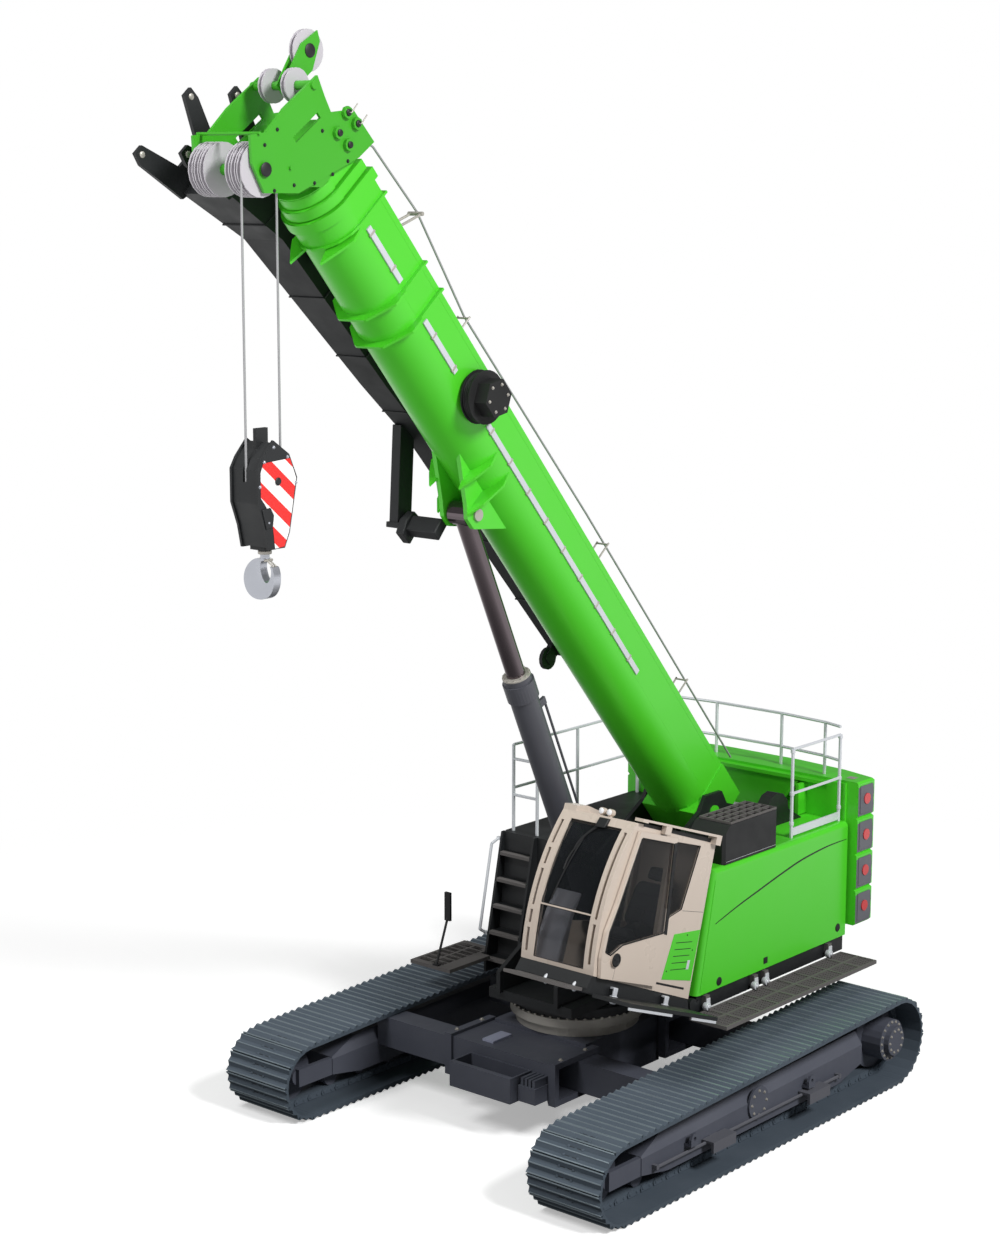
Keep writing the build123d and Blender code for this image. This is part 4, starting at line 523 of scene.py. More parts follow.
def cab_gaskets():
    """Rubber round the windshield's two panes, the door's pane and the panes of both sides."""
    left, right = 0.73, 1.37
    panes = [
        gasket([(low, left), (low, right), (high, right), (high, left)],
               lambda w, x: windshield(w, x, 0.004), 0.006)
        for low, high in ((0.11, 0.632), (0.648, 1.53))
    ]
    piece("windshield_gaskets", panes, "black_plastic", "cab")
    door_pane = [(0.74, 0.62), (1.40, 0.42), (1.56, 0.30), (1.655, 0.32), (1.66, 0.52), (1.598, 0.78),
                 (1.468, 1.485), (0.905, 1.505)]
    door = gasket(door_pane, lambda f, w: cab_at(f, w, door_face + 0.0003), 0.007)
    piece("door_gasket", [door], "black_plastic", "door")
    rear_pane = [(0.37, 1.555), (0.80, 1.535), (0.72, 0.85), (0.69, 0.69), (0.64, 0.78), (0.46, 0.88)]
    right_pane = [(0.17, 0.62), (1.56, 0.47), (1.61, 0.80), (1.46, 1.50), (0.23, 1.53)]
    sides = [gasket(rear_pane, lambda f, w: cab_at(f, w, 1.4940), 0.006),
             gasket(right_pane, lambda f, w: cab_at(f, w, 0.5795), 0.006)]
    piece("side_gaskets", sides, "black_plastic", "cab")


def door_trim():
    """Door: dark bar beside the pane, round lock with its lever, and one seam."""
    bar = [(0.694, 0.60), (0.745, 0.60), (0.905, 1.515), (0.858, 1.525)]
    piece("door_bar", [prism(bar, cab_at, door_face, 1.5508)], "black_plastic", "door", bevel=0.001)
    lock = ((0.069, 0.0), (0.069, 0.004), (0.063, 0.008), (0.052, 0.008), (0.048, 0.003), (0.020, 0.003),
            (0.001, 0.004))
    piece("door_lock", [lathe(cab_at(1.48, 0.265, 1.5703), (1, 0, 0), lock, 32)], "black_plastic", "door")
    lever = [(1.452, 0.262), (1.508, 0.256), (1.510, 0.276), (1.454, 0.280)]
    piece("door_lock_lever", [prism(lever, cab_at, 1.573, 1.581)], "dark_paint", "door", bevel=0.003)
    seam = prism(oblong(1.4385, 1.4415, 0.07, 0.20), cab_at, door_face, door_face + 0.0005)
    piece("door_seams", [seam], "black_plastic", "door", smooth=False)


def cab_side_trim():
    """Cab's left side: seam, vent panel with slots drawn as black slivers of painted shade, catch and bolts,
    and the slots that the door runs in.
    """
    for name, low, high, material, bevel, outline in (
        ("cab_seam", 0.0002, 0.0007, "black_plastic", 0.0,
         [(0.08, 0.898), (0.45, 0.868), (0.45, 0.872), (0.08, 0.902)]),
        ("vent_panel", 0.0003, 0.0045, "green_paint", 0.0015,
         [(0.55, 0.15), (0.50, 0.62), (0.06, 0.72), (0.035, 0.19)]),
        ("vent_catch", 0.0046, 0.0070, "rail_steel", 0.001,
         [(0.125, 0.30), (0.170, 0.295), (0.170, 0.39), (0.125, 0.395)]),
        ("cab_low_slot", -0.0015, 0.00025, "black_plastic", 0.0,
         [(0.12, 0.085), (0.66, 0.096), (0.66, 0.118), (0.12, 0.108)]),
        ("roof_rail_slot", 0.0003, 0.004, "black_plastic", 0.001,
         [(0.22, 1.612), (1.43, 1.602), (1.43, 1.632), (0.22, 1.654)]),
        ("roof_rail_slider", 0.002, 0.0625, "beige_paint", 0.006,
         [(1.02, 1.575), (1.12, 1.573), (1.12, 1.66), (1.02, 1.662)]),
    ):
        plate = prism(outline, cab_at, cab_skin + low, cab_skin + high)
        piece(name, [plate], material, "cab", bevel, smooth=bevel > 0)
    # Black slivers on the vent panel: painted shade in its slot openings
    slots = [
        prism([(0.16, w), (0.44, w - 0.045), (0.44, w - 0.037), (0.16, w + 0.008)], cab_at, 1.5046, 1.5052)
        for w in 0.30 + 0.07 * np.arange(5)
    ]
    piece("vent_slots", slots, "black_plastic", "cab", smooth=False)
    button = ((0.009, 0), (0.009, 0.0015), (0.006, 0.0024), (0.001, 0.0025))
    heads = [lathe(cab_at(f, w, cab_skin + 0.0045), (1, 0, 0), button, 14)
             for f, w in ((0.27, 0.64), (0.50, 0.24), (0.125, 0.50))]
    piece("vent_bolts", heads, "black_plastic", "cab")


def wiper_arm(places, lift):
    """Arm through places (w, x) on the glass, held off it by lift."""
    w, x = np.array(places).T
    return tube(smooth_path(windshield(w, x, lift), 24), 0.0085)


def wipers():
    """Wiper arms, blade and motor, which follow the bulge of the glass."""
    arms = [wiper_arm([(1.56, 1.13), (1.50, 1.08), (1.36, 0.98), (1.22, 0.93)], 0.022),
            wiper_arm([(1.56, 1.10), (1.47, 1.04), (1.33, 0.95), (1.22, 0.93)], 0.022),
            wiper_arm([(1.22, 0.93), (1.12, 0.905), (1.02, 0.90)], 0.026)]
    piece("wiper_arms", arms, "black_plastic", "cab")
    blade = windshield(np.linspace(1.40, 0.70, 24), np.linspace(0.985, 0.845, 24), 0.0115)
    piece("wiper_blade", [tube(blade, 0.008, 6)], "black_plastic", "cab")
    motor = prism(oblong(1.07, 1.19, 1.50, 1.60), lambda x, w, out: windshield(w, x, out), 0.012, 0.05)
    piece("wiper_motor", [motor], "black_plastic", "cab", bevel=0.008)


def roof_lamps():
    """Domed fronts of the two lamps at the roof's edge."""
    lens = ((0.030, 0.0), (0.030, 0.003), (0.024, 0.008), (0.012, 0.011), (0.001, 0.012))
    ahead = (0, -cos(cab_lean), sin(cab_lean))
    fronts = [lathe(cab_at(1.5303, 1.665, x), ahead, lens, 24) for x in (1.03, 1.13)]
    piece("roof_lamp_lenses", fronts, "lamp_glass", "cab")


def cab_ironwork():
    """Bright clamps under the cab's left edge, two tie hooks at its front, and the walkway's toe boards."""
    clamps = []
    for f in (0.45, 1.35):
        clamps.append(prism(oblong(f - 0.034, f + 0.034, -0.10, -0.002), cab_at, 1.4945, 1.556))
        jaw = [(f - 0.045, -0.085), (f + 0.045, -0.085), (f + 0.05, -0.13), (f + 0.02, -0.165),
               (f - 0.03, -0.165), (f - 0.05, -0.13)]
        clamps.append(prism(jaw, cab_at, 1.52, 1.562))
    piece("walkway_clamps", clamps, "rail_steel", "cab", bevel=0.008)
    f, w = np.array([(1.722, -0.030), (1.748, -0.050), (1.752, -0.085), (1.735, -0.105), (1.712, -0.098)]).T
    hooks = [tube(smooth_path(cab_at(f, w, x), 20), 0.017, 10) for x in (0.97, 1.33)]
    piece("tie_hooks", hooks, "rail_steel", "cab")
    toes = [prism(oblong(rear, front, -0.16, -0.132), cab_at, 1.985, 1.998)
            for rear, front in ((0.95, 1.70), (0.16, 0.60))]
    piece("walkway_edges", toes, "rail_steel", "cab", bevel=0.002)


cab_gaskets()
door_trim()
cab_side_trim()
wipers()
roof_lamps()
cab_ironwork()


# Seat and consoles

def signed_power(t, power):
    """|t| to a power, with the sign of t."""
    return np.sign(t) * np.abs(t) ** power


def points_of(mesh):
    """Places of a mesh's points as one array."""
    flat = np.empty(len(mesh.vertices) * 3, np.float32)
    mesh.vertices.foreach_get("co", flat)
    return flat.reshape(-1, 3).astype(float)


def pad(name, centre, along, up, size, cap):
    """Crowned cushion, swollen by pressure, with two stitched grooves across it.

    Point = centre + a F(v) C(u) across + b F(v) S(u) along + c R(v) up, where F = |cos v|^0.4,
    C = |cos u|^0.35, S = |sin u|^0.35 and R = |sin v|^0.7, each with its own sign.
    """
    u = np.linspace(0, 2 * pi, 49)[:-1]
    v = np.linspace(-pi / 2, pi / 2, 25)[1:-1, None]
    flat, rise = signed_power(np.cos(v), 0.4), signed_power(np.sin(v), 0.7) + 0 * u
    wide, deep = flat * signed_power(np.cos(u), 0.35), flat * signed_power(np.sin(u), 0.35)
    local = np.stack([wide, deep, rise], axis=-1) * size
    grid = centre + local @ np.array([(1.0, 0.0, 0.0), along, up])
    obj = piece(name, [band(grid)], "seat_fabric", "cab")
    swell(obj, cap)
    points = points_of(obj.data)
    groove_depth, groove_width, groove_share = 0.006, 0.007, 0.33
    on_top = (points - centre) @ up > 0
    for side in (-1, 1):
        off = (points - centre) @ along - side * groove_share * size[1]
        points -= (groove_depth * np.exp(-(off / groove_width) ** 2) * on_top)[:, None] * up
    obj.data.vertices.foreach_set("co", points.ravel())
    obj.data.shade_smooth()


def swell(obj, cap):
    """Even out the mesh, let cloth swell under pressure with no gravity, and cap how far a point goes."""
    bpy.context.view_layer.objects.active = obj
    even = obj.modifiers.new("even", "REMESH")
    even.mode = "VOXEL"
    even.voxel_size = 0.008
    bpy.ops.object.modifier_apply(modifier="even")
    before = points_of(obj.data)
    cloth = obj.modifiers.new("cloth", "CLOTH")
    cloth.settings.use_pressure = True
    cloth.settings.uniform_pressure_force = 4.0
    cloth.settings.effector_weights.gravity = 0.0
    scene, frames = bpy.context.scene, 16
    for number in range(1, frames + 1):
        scene.frame_set(number)
    shown = obj.evaluated_get(bpy.context.evaluated_depsgraph_get())
    shift = points_of(shown.data) - before
    obj.modifiers.remove(cloth)
    scene.frame_set(1)
    length = np.linalg.norm(shift, axis=1)
    shift *= np.minimum(1.0, cap / np.maximum(length, 1e-9))[:, None]
    obj.data.vertices.foreach_set("co", (before + shift).ravel())
    obj.data.update()


def seat():
    """Seat: three pads on a moulded shell with arm consoles, and a lever on each."""
    mid, lean = 1.04, radians(14.0)
    up = cab_at(0, 1, 0) - cab_at(0, 0, 0)
    ahead = cab_at(1, 0, 0) - cab_at(0, 0, 0)
    back_up = up * cos(lean) - ahead * sin(lean)
    back_out = ahead * cos(lean) + up * sin(lean)
    pad("seat_cushion", cab_at(0.735, 0.505, mid), ahead, up, (0.215, 0.215, 0.050), 0.012)
    pad("seat_back", cab_at(0.445, 0.845, mid), back_up, back_out, (0.205, 0.245, 0.050), 0.012)
    pad("seat_headrest", cab_at(0.335, 1.175, mid), back_up, back_out, (0.120, 0.070, 0.036), 0.008)
    shell = [(0.52, 0.44), (0.93, 0.44), (0.96, 0.46), (0.52, 0.47), (0.42, 0.62), (0.33, 1.08), (0.30, 1.07),
             (0.39, 0.58)]
    base = [(0.50, 0.055), (0.80, 0.065), (0.74, 0.30), (0.78, 0.43), (0.50, 0.43), (0.55, 0.30)]
    arm = [(0.48, 0.40), (0.48, 0.62), (0.90, 0.66), (0.95, 0.61), (0.70, 0.40)]
    solids = [prism(shell, cab_at, mid - 0.20, mid + 0.20), prism(base, cab_at, mid - 0.14, mid + 0.14)]
    solids += plates(arm, cab_at, (mid + 0.23, mid + 0.315), (mid - 0.315, mid - 0.23))
    piece("seat_shell", solids, "black_plastic", "cab", bevel=0.012)
    grip = [(0.016, 0.0), (0.020, 0.010), (0.010, 0.02), (0.010, 0.07), (0.019, 0.09), (0.023, 0.13),
            (0.018, 0.155), (0.001, 0.16)]
    levers = [lathe(cab_at(0.86, 0.652, x), up, grip, 20) for x in (mid + 0.272, mid - 0.272)]
    piece("seat_levers", levers, "black_plastic", "cab")


def front_console():
    """Console at the windshield's foot, with its screen."""
    front = [(1.50, 0.062), (1.50, 0.56), (1.44, 0.81), (1.465, 0.825), (1.56, 0.60), (1.60, 0.30),
             (1.60, 0.066)]
    piece("front_console", [prism(front, cab_at, 0.640, 0.960)], "console_grey", "cab", bevel=0.015)
    screen = prism(oblong(1.424, 1.436, 0.62, 0.80), cab_at, 0.69, 0.88)
    piece("console_screen", [screen], "black_plastic", "cab", bevel=0.004)


seat()
front_console()
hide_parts("cab_seat")


# Boom: half width of the base, and height of the bends below the top face, where the round underside begins

base_half, bend_depth = 0.340, 0.4


def hoist_rope():
    """Hoist rope over the boom: straight runs over the guides on the base, and its last run on the head."""
    s, u = np.array([(0.02, 0.435), (4.1, 0.42), (6.93, 0.355), (8.12, 0.505), (8.95, 0.445)]).T
    piece("hoist_line", [tube(boom_at(s, u, 0.0), 0.011)], "wire_rope", "boom_base")
    s, u = np.array([(8.952, 0.445), (9.72, 0.10), (10.02, -0.02)]).T
    piece("hoist_line_end", [tube(boom_at(s, u, 0.0), 0.011)], "wire_rope", "boom_head")


def rope_guides():
    """Guides that carry the hoist rope: three low hoops, and a taller one with a roller near the tip."""
    guides = []
    for s, u in ((1.45, 0.39), (3.65, 0.40), (6.93, 0.335)):
        for x in (-0.075, 0.075):
            guides.append(tube([boom_at(s, 0.13, x * 0.9), boom_at(s, u + 0.02, x)], 0.010))
        guides.append(tube([boom_at(s, u, -0.075), boom_at(s, u, 0.075)], 0.010))
    for x in (-0.07, 0.07):
        guides.append(tube([boom_at(8.30, 0.002, x), boom_at(8.11, 0.50, x)], 0.014))
        guides.append(tube([boom_at(8.20, 0.002, x), boom_at(8.22, 0.21, x)], 0.010))
    guides.append(tube([boom_at(8.12, 0.482, -0.09), boom_at(8.12, 0.482, 0.09)], 0.020, 12))
    piece("rope_guides", guides, "ring_steel", "boom_base")


def base_trim():
    """Boom's base: weld seams along its edges, clips of the cable strip, two collar flanges."""
    first, last = 0.54, 8.76
    near, far = base_half + 0.0003, base_half + 0.0015
    seams = plates(oblong(first, last, -0.062, -0.058), boom_at, (near, far), (-far, -near))
    seams += plates(oblong(first, last, -0.402, -0.397), boom_at, (near, base_half + 0.002))
    piece("base_seams", seams, "green_paint", "boom_base", smooth=False)
    reel_span, flange_span = (6.2, 6.9), (7.56, 8.05)
    clips = [
        prism(oblong(s - 0.012, s + 0.012, -0.392, -0.308), boom_at, near, base_half + 0.02)
        for s in np.arange(2.75, 8.7, 0.42)
        if not reel_span[0] < s < reel_span[1] and not flange_span[0] < s < flange_span[1]
    ]
    piece("strip_clips", clips, "ring_steel", "boom_base", bevel=0.002)
    flanges = [collar_flange(s) for s in (7.619, 7.959)]
    piece("collar_flanges", flanges, "green_paint", "boom_base", smooth=False)


def collar_flange(s):
    """Flange under the boom: an octagon outside, r = 0.405 / cos(angle from the nearest flat), round inside.

    Past both ends of the half turn its outside draws in by half a metre a radian.
    """
    reach, thick = 0.405, 0.024
    turns = np.linspace(-0.12, pi + 0.12, 65)[:, None]
    facet = (turns + pi / 8) % (pi / 4) - pi / 8
    past = np.maximum(-turns, turns - pi)
    outer = np.where(past > 0, reach - 0.5 * past, reach / np.cos(facet))
    inner = np.full_like(outer, 0.3395)
    radius = np.hstack([inner, outer, outer, inner])
    depth = np.array([0, 0, thick, thick])
    u, x = -bend_depth - radius * np.sin(turns), radius * np.cos(turns)
    return band(boom_at(s + depth, u, x))


def round_under(name, half, s0, s1, body):
    """Thin shell under the boom: x = r cos a, u = -depth - r sin a for a from 0 to pi, from s0 to s1."""
    count, half_thick = 61, 0.0015
    out_and_back = np.concatenate([np.linspace(0.0, pi, count), np.linspace(pi, 0.0, count)])
    radius = half + np.repeat([half_thick, -half_thick], count)
    u, x = -bend_depth - radius * np.sin(out_and_back), radius * np.cos(out_and_back)
    grid = np.stack([boom_at(s0, u, x), boom_at(s1, u, x)])
    piece(name, [band(grid)], "green_paint", body)


def reel_trim():
    """Cable reel: four turns of cable and the hub's bolts."""
    s, u, x = 6.52, -0.29, 0.392
    a, b = circle(28, 0.232)
    turns = [tube(boom_at(s + a, u + b, x + 0.021 * k), 0.0105, closed=True) for k in range(4)]
    piece("reel_cable", turns, "black_plastic", "boom_base")
    a, b = circle(6, 0.135)
    heads = bolts(boom_at(s + a, u + b, 0.6305), (1, 0, 0), 0.012, 0.012)
    piece("reel_bolts", heads, "ring_steel", "boom_base")


hoist_rope()
rope_guides()
base_trim()
reel_trim()
round_under("base_underside", base_half, 0.56, 8.96, "boom_base")
round_under("base_collar", 0.370, 8.9705, 9.0795, "boom_base")
round_under("collar_2", 0.336, 9.0935, 9.191, "boom_section_2")
round_under("collar_3", 0.302, 9.2055, 9.303, "boom_section_3")


# Stowed jib

def jib_trim():
    """Jib: pins at its fork and stiffening rings round its tapering box."""
    cap = ((0.030, 0.0), (0.030, 0.006), (0.022, 0.012), (0.001, 0.012))
    pins = [lathe(boom_at(10.07, u, x), (1, 0, 0), cap, 20)
            for u in (-0.965, -0.175) for x in (-0.509, -1.109)]
    piece("jib_pins", pins, "ring_steel", "boom_base")
    inner, out = -0.503, 0.006
    ribs = []
    for s, x, low, high in ((9.0, -1.052, -0.679, -0.223), (8.0, -0.955, -0.562, -0.223),
                            (7.2, -0.885, -0.521, -0.227), (6.4, -0.815, -0.465, -0.235),
                            (5.4, -0.753, -0.430, -0.249), (4.5, -0.715, -0.430, -0.263),
                            (3.6, -0.672, -0.430, -0.276)):
        x_row, u_row = np.array(oblong(x - out, inner, low - out, high + out)).T
        ribs.append(tube(boom_at(s, u_row, x_row), 0.009, 6, closed=True))
    piece("jib_ribs", ribs, "dark_paint", "boom_base")


def jib_bracket():
    """Bracket that holds the jib: a sleeved post on a foot, and an arm with a knuckle to the boom."""
    post = [(5.370, -1.018), (5.510, -1.162), (6.220, -0.472), (6.080, -0.328)]
    foot = [(5.340, -1.030), (5.380, -1.070), (5.500, -1.190), (5.540, -1.150), (5.420, -1.030),
            (5.380, -0.990)]
    piece("jib_post", [prism(post, boom_at, -0.800, -0.685), prism(foot, boom_at, -0.830, -0.655)],
          "dark_paint", "boom_base", bevel=0.006)
    arm = [(5.39, -1.19), (5.50, -1.19), (5.53, -1.02), (5.42, -0.99)]
    knuckle = [(5.34, -1.24), (5.50, -1.25), (5.56, -1.12), (5.54, -0.98), (5.38, -0.96)]
    piece("jib_post_arm", [prism(arm, boom_at, -0.66, -0.184), prism(knuckle, boom_at, -0.66, -0.56)],
          "dark_paint", "boom_base", bevel=0.01)


jib_trim()
jib_bracket()


# Boom's head

def head_trim():
    """Head: pins with their handles, bolts round the left plate, caps on the sheaves' axles."""
    pin_places = ((9.65, 0.08), (9.50, 0.11), (9.59, -0.12), (9.43, -0.09))
    pin = ((0.030, 0.0), (0.030, 0.012), (0.024, 0.016), (0.001, 0.016))
    pins = [lathe(boom_at(s, u, way * 0.404), (way, 0, 0), pin, 18) for s, u in pin_places for way in (1, -1)]
    piece("head_pins", pins, "black_plastic", "boom_head")
    handles = [
        tube(smooth_path([boom_at(s, u, 0.418), boom_at(s, u, 0.445), boom_at(s + 0.01, u + 0.05, 0.45),
                          boom_at(s + 0.015, u + 0.10, 0.45)], 14), 0.006)
        for s, u in pin_places[:2]
    ]
    piece("pin_handles", handles, "ring_steel", "boom_head")
    s, u = np.array([(9.32, -0.18), (9.36, -0.40), (9.45, -0.62), (9.60, -0.82), (9.72, -1.03),
                     (10.08, -0.86), (10.08, -0.66), (9.72, -0.25)]).T
    piece("head_bolts", bolts(boom_at(s, u, 0.3703), (1, 0, 0), 0.013, 0.012), "dark_paint", "boom_head")
    cap = ((0.062, 0.0), (0.062, 0.006), (0.052, 0.012), (0.001, 0.012))
    axles = ((9.93, -1.0, 0.3903, 1), (9.93, -1.0, -0.3903, -1), (10.14, 0.33, 0.0665, 1))
    caps = [lathe(boom_at(s, u, x), (way, 0, 0), cap, 24) for s, u, x, way in axles]
    piece("axle_caps", caps, "black_plastic", "boom_head")


head_trim()


# Lift cylinder

def gland():
    """Gland at the mouth of the lift cylinder's barrel: a turned ring and twelve bolts."""
    foot, top = xyz(0.0, 0.3, 1.9), boom_at(5.5, -0.9, 0.0)
    way = (top - foot) / np.linalg.norm(top - foot)
    mouth = foot + way * 3.1503
    ring = ((0.103, 0.0), (0.150, 0.0), (0.150, 0.012), (0.118, 0.022), (0.103, 0.022))
    piece("gland_ring", [lathe(mouth, way, ring, 36)], "ring_steel", "lift_barrel")
    a, b = circle(12, 0.136)
    places = mouth + a[:, None] * (1, 0, 0) + b[:, None] * np.cross(way, (1, 0, 0))
    piece("gland_bolts", bolts(places, way, 0.009, 0.03), "ring_steel", "lift_barrel")


gland()


# Tracks

# Number of shoes, a track's place across, and each wheel's y, z and radius up to the shoes
shoes, track_middle = 60, 2.06
front_wheel, rear_wheel = (-2.38, 0.42, 0.378), (2.48, 0.49, 0.448)


def loop_seats():
    """Places (y, z) of the shoes' joints, evenly round the loop, first one again at the end; and their pitch.

    The loop is a straight foot run, the rear wheel's round, the straight top run and the front wheel's round.
    On a round the place is wheel + radius * (sin t, -cos t), on the top run it goes on along (cos t, sin t).
    """
    (y1, z1, r1), (y2, z2, r2) = front_wheel, rear_wheel
    top_run = sqrt(hypot(y2 - y1, z2 - z1) ** 2 - (r2 - r1) ** 2)
    turned = pi + atan2(z2 - z1, y2 - y1) + atan2(r2 - r1, top_run)
    ends = np.cumsum([y2 - y1, r2 * turned, top_run, r1 * (2 * pi - turned)])
    d = np.linspace(0.0, ends[3], shoes + 1)
    t = np.clip((d - ends[0]) / r2, 0.0, turned) + np.maximum(d - ends[2], 0.0) / r1
    run = np.clip(d - ends[1], 0.0, top_run)
    behind = d < ends[2]
    y = np.where(behind, y2 + r2 * np.sin(t) + run * np.cos(t), y1 + r1 * np.sin(t))
    z = np.where(behind, z2 - r2 * np.cos(t) + run * np.sin(t), z1 - r1 * np.cos(t))
    foot = d < ends[0]
    return np.where(foot, y1 + d, y), np.where(foot, z1 - r1, z), ends[3] / shoes


def shoe_places(hand):
    """A placing function for each shoe of a track: point = middle + a along + b outward + c across."""
    y, z, _ = loop_seats()
    heading = np.arctan2(np.diff(z), np.diff(y))
    middles = xyz(hand * track_middle, (y[:-1] + y[1:]) / 2, (z[:-1] + z[1:]) / 2)

    def placing(middle, t):
        return lambda a, b, c: middle + xyz(c, a * cos(t) + b * sin(t), a * sin(t) - b * cos(t))

    return [placing(middle, t) for middle, t in zip(middles, heading)]


def track_links(hand, body):
    """Two link plates under each shoe with the ends of their pins, and four bolt heads on it."""
    quarter = loop_seats()[2] / 4 - 0.0025
    plate = [(-0.092, -0.055), (-0.070, -0.088), (-0.030, -0.092), (0.0, -0.082), (0.030, -0.092),
             (0.070, -0.088), (0.092, -0.055), (0.080, -0.022), (-0.080, -0.022)]
    pin = ((0.017, 0), (0.017, 0.005), (0.012, 0.007))
    head = ((0.016, 0.0), (0.016, 0.009), (0.012, 0.012))
    links, pins, heads = [], [], []
    for at in shoe_places(hand):
        outward = at(0, 1, 0) - at(0, 0, 0)
        for way in (-1, 1):
            near, far = way * 0.130, way * 0.141
            links.append(prism(plate, at, min(near, far), max(near, far)))
            pins += [lathe(at(a, -0.057, far), (way, 0, 0), pin, 8) for a in (-0.052, 0.052)]
            heads += [lathe(at(a, 0.0165, way * 0.085), outward, head, 6) for a in (-quarter, quarter)]
    piece("track_links_" + body[6:], links + pins, "track_steel", body, smooth=False)
    piece("shoe_bolts_" + body[6:], heads, "track_steel", body, smooth=False)


def wheel_bolts(hand, body):
    """Bolts of the frame's round cover, and of the drive wheel's rim and hub."""
    parts = []
    for count, radius, x, y, z in ((8, 0.128, 2.3643, 0.0, 0.5), (16, 0.2, track_middle + 0.3303, 2.48, 0.49),
                                   (10, 0.125, track_middle + 0.3903, 2.48, 0.49)):
        a, b = circle(count, radius)
        parts += bolts(xyz(hand * x, y + a, z + b), (hand, 0, 0), 0.012, 0.012)
    piece("frame_bolts_" + body[6:], parts, "ring_steel", body)


def shoe_wear_and_painted_light(hand, body):
    """Bright crests on the three ribs of each shoe, worn and lightened as painted highlight, and four black
    ovals in its middle as painted shade where its holes are.
    """
    pitch = loop_seats()[2]
    quarter = pitch / 4 - 0.0025
    along, across = circle(12, 1.0)[::-1]
    crests, holes = [], []
    for at in shoe_places(hand):
        # Bright crests on the ribs: wear and painted highlight
        for a in (0.005 - pitch / 2, 0.0, pitch / 2 - 0.005):
            edge = [(a - 0.008, 0.036), (a + 0.008, 0.036), (a + 0.005, 0.0435), (a - 0.005, 0.0435)]
            crests.append(prism(edge, at, -0.438, 0.438))
        # Black ovals on each shoe: painted shade where its holes are
        for x in (-0.050, 0.050):
            for a in (quarter, -quarter):
                oval = np.column_stack([a + 0.017 * along, x + 0.036 * across])
                holes.append(prism(oval, lambda p, q, b: at(p, b, q), 0.0150, 0.0180))
    piece("shoe_crests_" + body[6:], crests, "worn_steel_with_painted_highlight", body, smooth=False)
    piece("shoe_slots_" + body[6:], holes, "black_plastic", body, smooth=False)


for hand, body in ((1, "track_left"), (-1, "track_right")):
    track_links(hand, body)
    wheel_bolts(hand, body)
    shoe_wear_and_painted_light(hand, body)


# Walkways, rails and mirror

def grating(name, y0, y1, x0, x1):
    """Flat bars along the machine and thinner cross rods, laid out between two pairs of edges."""
    top, pitch, rod_pitch = 1.233, 0.03, 0.06
    bars = [prism(oblong(y0, y1, x - 0.0015, x + 0.0015), deck_at, top - 0.028, top)
            for x in np.arange(x0 + pitch / 2, x1, pitch)]
    rods = [prism(oblong(y - 0.0025, y + 0.0025, x0, x1), deck_at, top - 0.012, top - 0.004)
            for y in np.arange(y0 + rod_pitch / 2, y1, rod_pitch)]
    piece(name, bars + rods, "grating_steel", "upper", smooth=False)


def mirror():
    """Glass of the mirror in front of the right platform."""
    glass = prism(oblong(-1.592, -1.528, 1.712, 2.008), front_at, -0.3155, -0.3135)
    piece("mirror_glass", [glass], "mirror_glass", "upper", bevel=0.001)


def rail_clamps():
    """Sleeves where the left rail's bars meet its posts."""
    clamps = [tube([(1.40, y, z - 0.018), (1.40, y, z + 0.018)], 0.026, 12)
              for y in (1.92, 2.85) for z in (2.86, 3.19, 3.66)]
    piece("rail_clamps", clamps, "rail_steel", "upper")


def walkway_hinges():
    """Hinges of the folding walkway: a turned sleeve and a tapered plate each."""
    sleeve = ((0.040, -0.052), (0.043, -0.046), (0.043, 0.0), (0.040, 0.006), (0.018, 0.006), (0.016, 0.014),
              (0.001, 0.014))
    hinges = []
    for y in (0.26, 1.13, 1.33, 2.56):
        hinges.append(lathe((1.556, y - 0.035, 1.273), (1, 0, 0), sleeve, 20))
        plate = [(y - 0.036, 1.262), (y + 0.036, 1.262), (y + 0.030, 1.352), (y - 0.030, 1.352)]
        hinges.append(prism(plate, level_at, 1.5198, 1.532))
    piece("walkway_hinges", hinges, "rail_steel", "upper", bevel=0.003)


grating("walkway_grating", -0.05, 2.77, 1.53, 1.98)
grating("platform_grating", -0.50, 0.30, -1.89, -1.51)
mirror()
rail_clamps()
walkway_hinges()


# Counterweight and air box

def slab_trim():
    """Grey sheets behind the slabs' end caps, below a green edge, and the top slab's lifting pockets."""
    sheets, near, far = [], 1.6002, 1.6022
    for z in 1.51 + 0.41 * np.arange(4):
        outline = np.array([(2.934, 0.024), (2.934, 0.350), (3.236, 0.350), (3.252, 0.250), (3.240, 0.185),
                            (3.252, 0.115), (3.236, 0.024)]) + (0, z)
        sheets += plates(outline, level_at, (near, far), (-far, -near))
    piece("slab_cap_sheets", sheets, "cap_grey", "upper", smooth=False)
    pockets = [prism(oblong(x - 0.05, x + 0.05, 3.03, 3.13), xyz, 3.1503, 3.1535) for x in (-1.42, 1.42)]
    piece("slab_pockets", pockets, "ring_steel", "upper", bevel=0.001)


def air_box_trim():
    """Air box: the bright line under its side cover."""
    line = prism(oblong(0.60, 1.50, 2.725, 2.728), level_at, 1.4802, 1.4812)
    piece("air_box_seams", [line], "rail_steel", "upper", smooth=False)


slab_trim()
air_box_trim()


# Floor, sky, lamps and camera

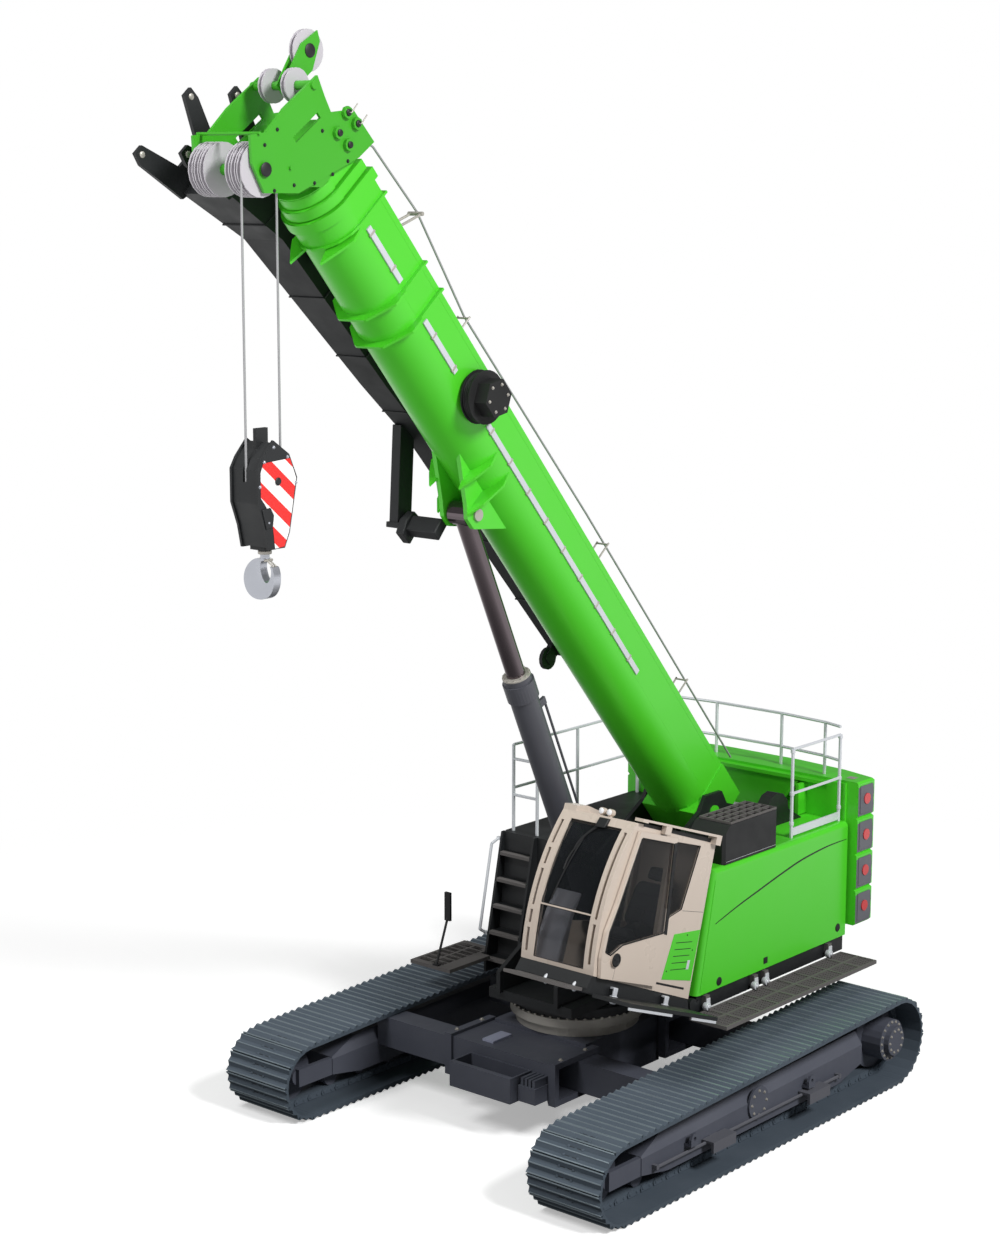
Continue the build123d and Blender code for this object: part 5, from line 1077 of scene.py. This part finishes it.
def studio_floor():
    """White floor, glowing a little for the camera and dull for all other rays, that fades into the sky."""
    half, low = 400.0, -0.002
    mesh = bpy.data.meshes.new("studio_floor")
    mesh.from_pydata([(x, y, low) for x, y in oblong(-half, half, -half, half)], [], [(0, 1, 2, 3)])
    floor = bpy.data.objects.new("studio_floor", mesh)
    bpy.context.collection.objects.link(floor)
    material, tree, main = shader("pale_floor")
    main.inputs["Base Color"].default_value = rgb("FBFBFB")
    main.inputs["Roughness"].default_value = 1.0
    main.inputs["Emission Color"].default_value = (1, 1, 1, 1)
    main.inputs["Emission Strength"].default_value = 0.38
    path = add(tree, "ShaderNodeLightPath")
    dull = add(tree, "ShaderNodeBsdfDiffuse", Color=rgb("666666"))
    shown = shaders_mixed(tree, path.outputs["Is Camera Ray"], dull.outputs[0], main.outputs[0])
    away = add(tree, "ShaderNodeVectorMath", {"Vector": place(tree)}, operation="LENGTH").outputs["Value"]
    glow = add(tree, "ShaderNodeEmission", Color=(1, 1, 1, 1), Strength=1.0)
    fade = shaders_mixed(tree, ramp(tree, away, 5.0, 13.0, 0.0, 1.0), shown, glow.outputs[0])
    tree.links.new(fade, tree.nodes["Material Output"].inputs["Surface"])
    mesh.materials.append(material)


def soft_sky():
    """White sky: full white where the camera or a glass pane sees it, faint as light."""
    world = bpy.data.worlds.new("soft_sky")
    world.use_nodes = True
    tree = world.node_tree
    path = add(tree, "ShaderNodeLightPath")
    lit = tree.nodes["Background"]
    lit.inputs["Color"].default_value = (1, 1, 1, 1)
    lit.inputs["Strength"].default_value = 0.2
    seen = add(tree, "ShaderNodeBackground", Color=(1, 1, 1, 1), Strength=1.0)
    through = maths(tree, "MAXIMUM", path.outputs["Is Camera Ray"], path.outputs["Is Transmission Ray"])
    mix = shaders_mixed(tree, through, lit.outputs[0], seen.outputs[0])
    tree.links.new(mix, tree.nodes["World Output"].inputs["Surface"])
    bpy.context.scene.world = world


def soft_lamp(name, where, power):
    """Square lamp, nine metres wide, aimed at the crane."""
    lamp = bpy.data.lights.new(name, "AREA")
    lamp.energy = power
    lamp.size = 9.0
    holder = bpy.data.objects.new(name, lamp)
    holder.location = where
    holder.rotation_euler = (Vector((0, -1, 2)) - Vector(where)).to_track_quat("-Z", "Y").to_euler()
    bpy.context.collection.objects.link(holder)


def photo_camera():
    """Camera where the photograph was taken from."""
    azimuth, down, roll = radians(40.529), radians(10.473), radians(0.08)
    camera = bpy.data.cameras.new("photo_camera")
    camera.sensor_width = 36.0
    camera.lens = 70.80
    camera.clip_end = 2000.0
    holder = bpy.data.objects.new("photo_camera", camera)
    back = Vector((sin(azimuth) * cos(down), -cos(azimuth) * cos(down), sin(down)))
    holder.location = (15.703, -19.652, 9.782)
    holder.rotation_mode = "QUATERNION"
    holder.rotation_quaternion = back.to_track_quat("Z", "Y") @ Quaternion((0, 0, 1), roll)
    bpy.context.collection.objects.link(holder)
    bpy.context.scene.camera = holder


studio_floor()
soft_sky()
soft_lamp("key_lamp", (33.0, -3.0, 30.5), 15400.0)
soft_lamp("fill_lamp", (-2.0, -18.0, 23.0), 3000.0)
photo_camera()
bpy.context.scene.view_settings.view_transform = "Standard"
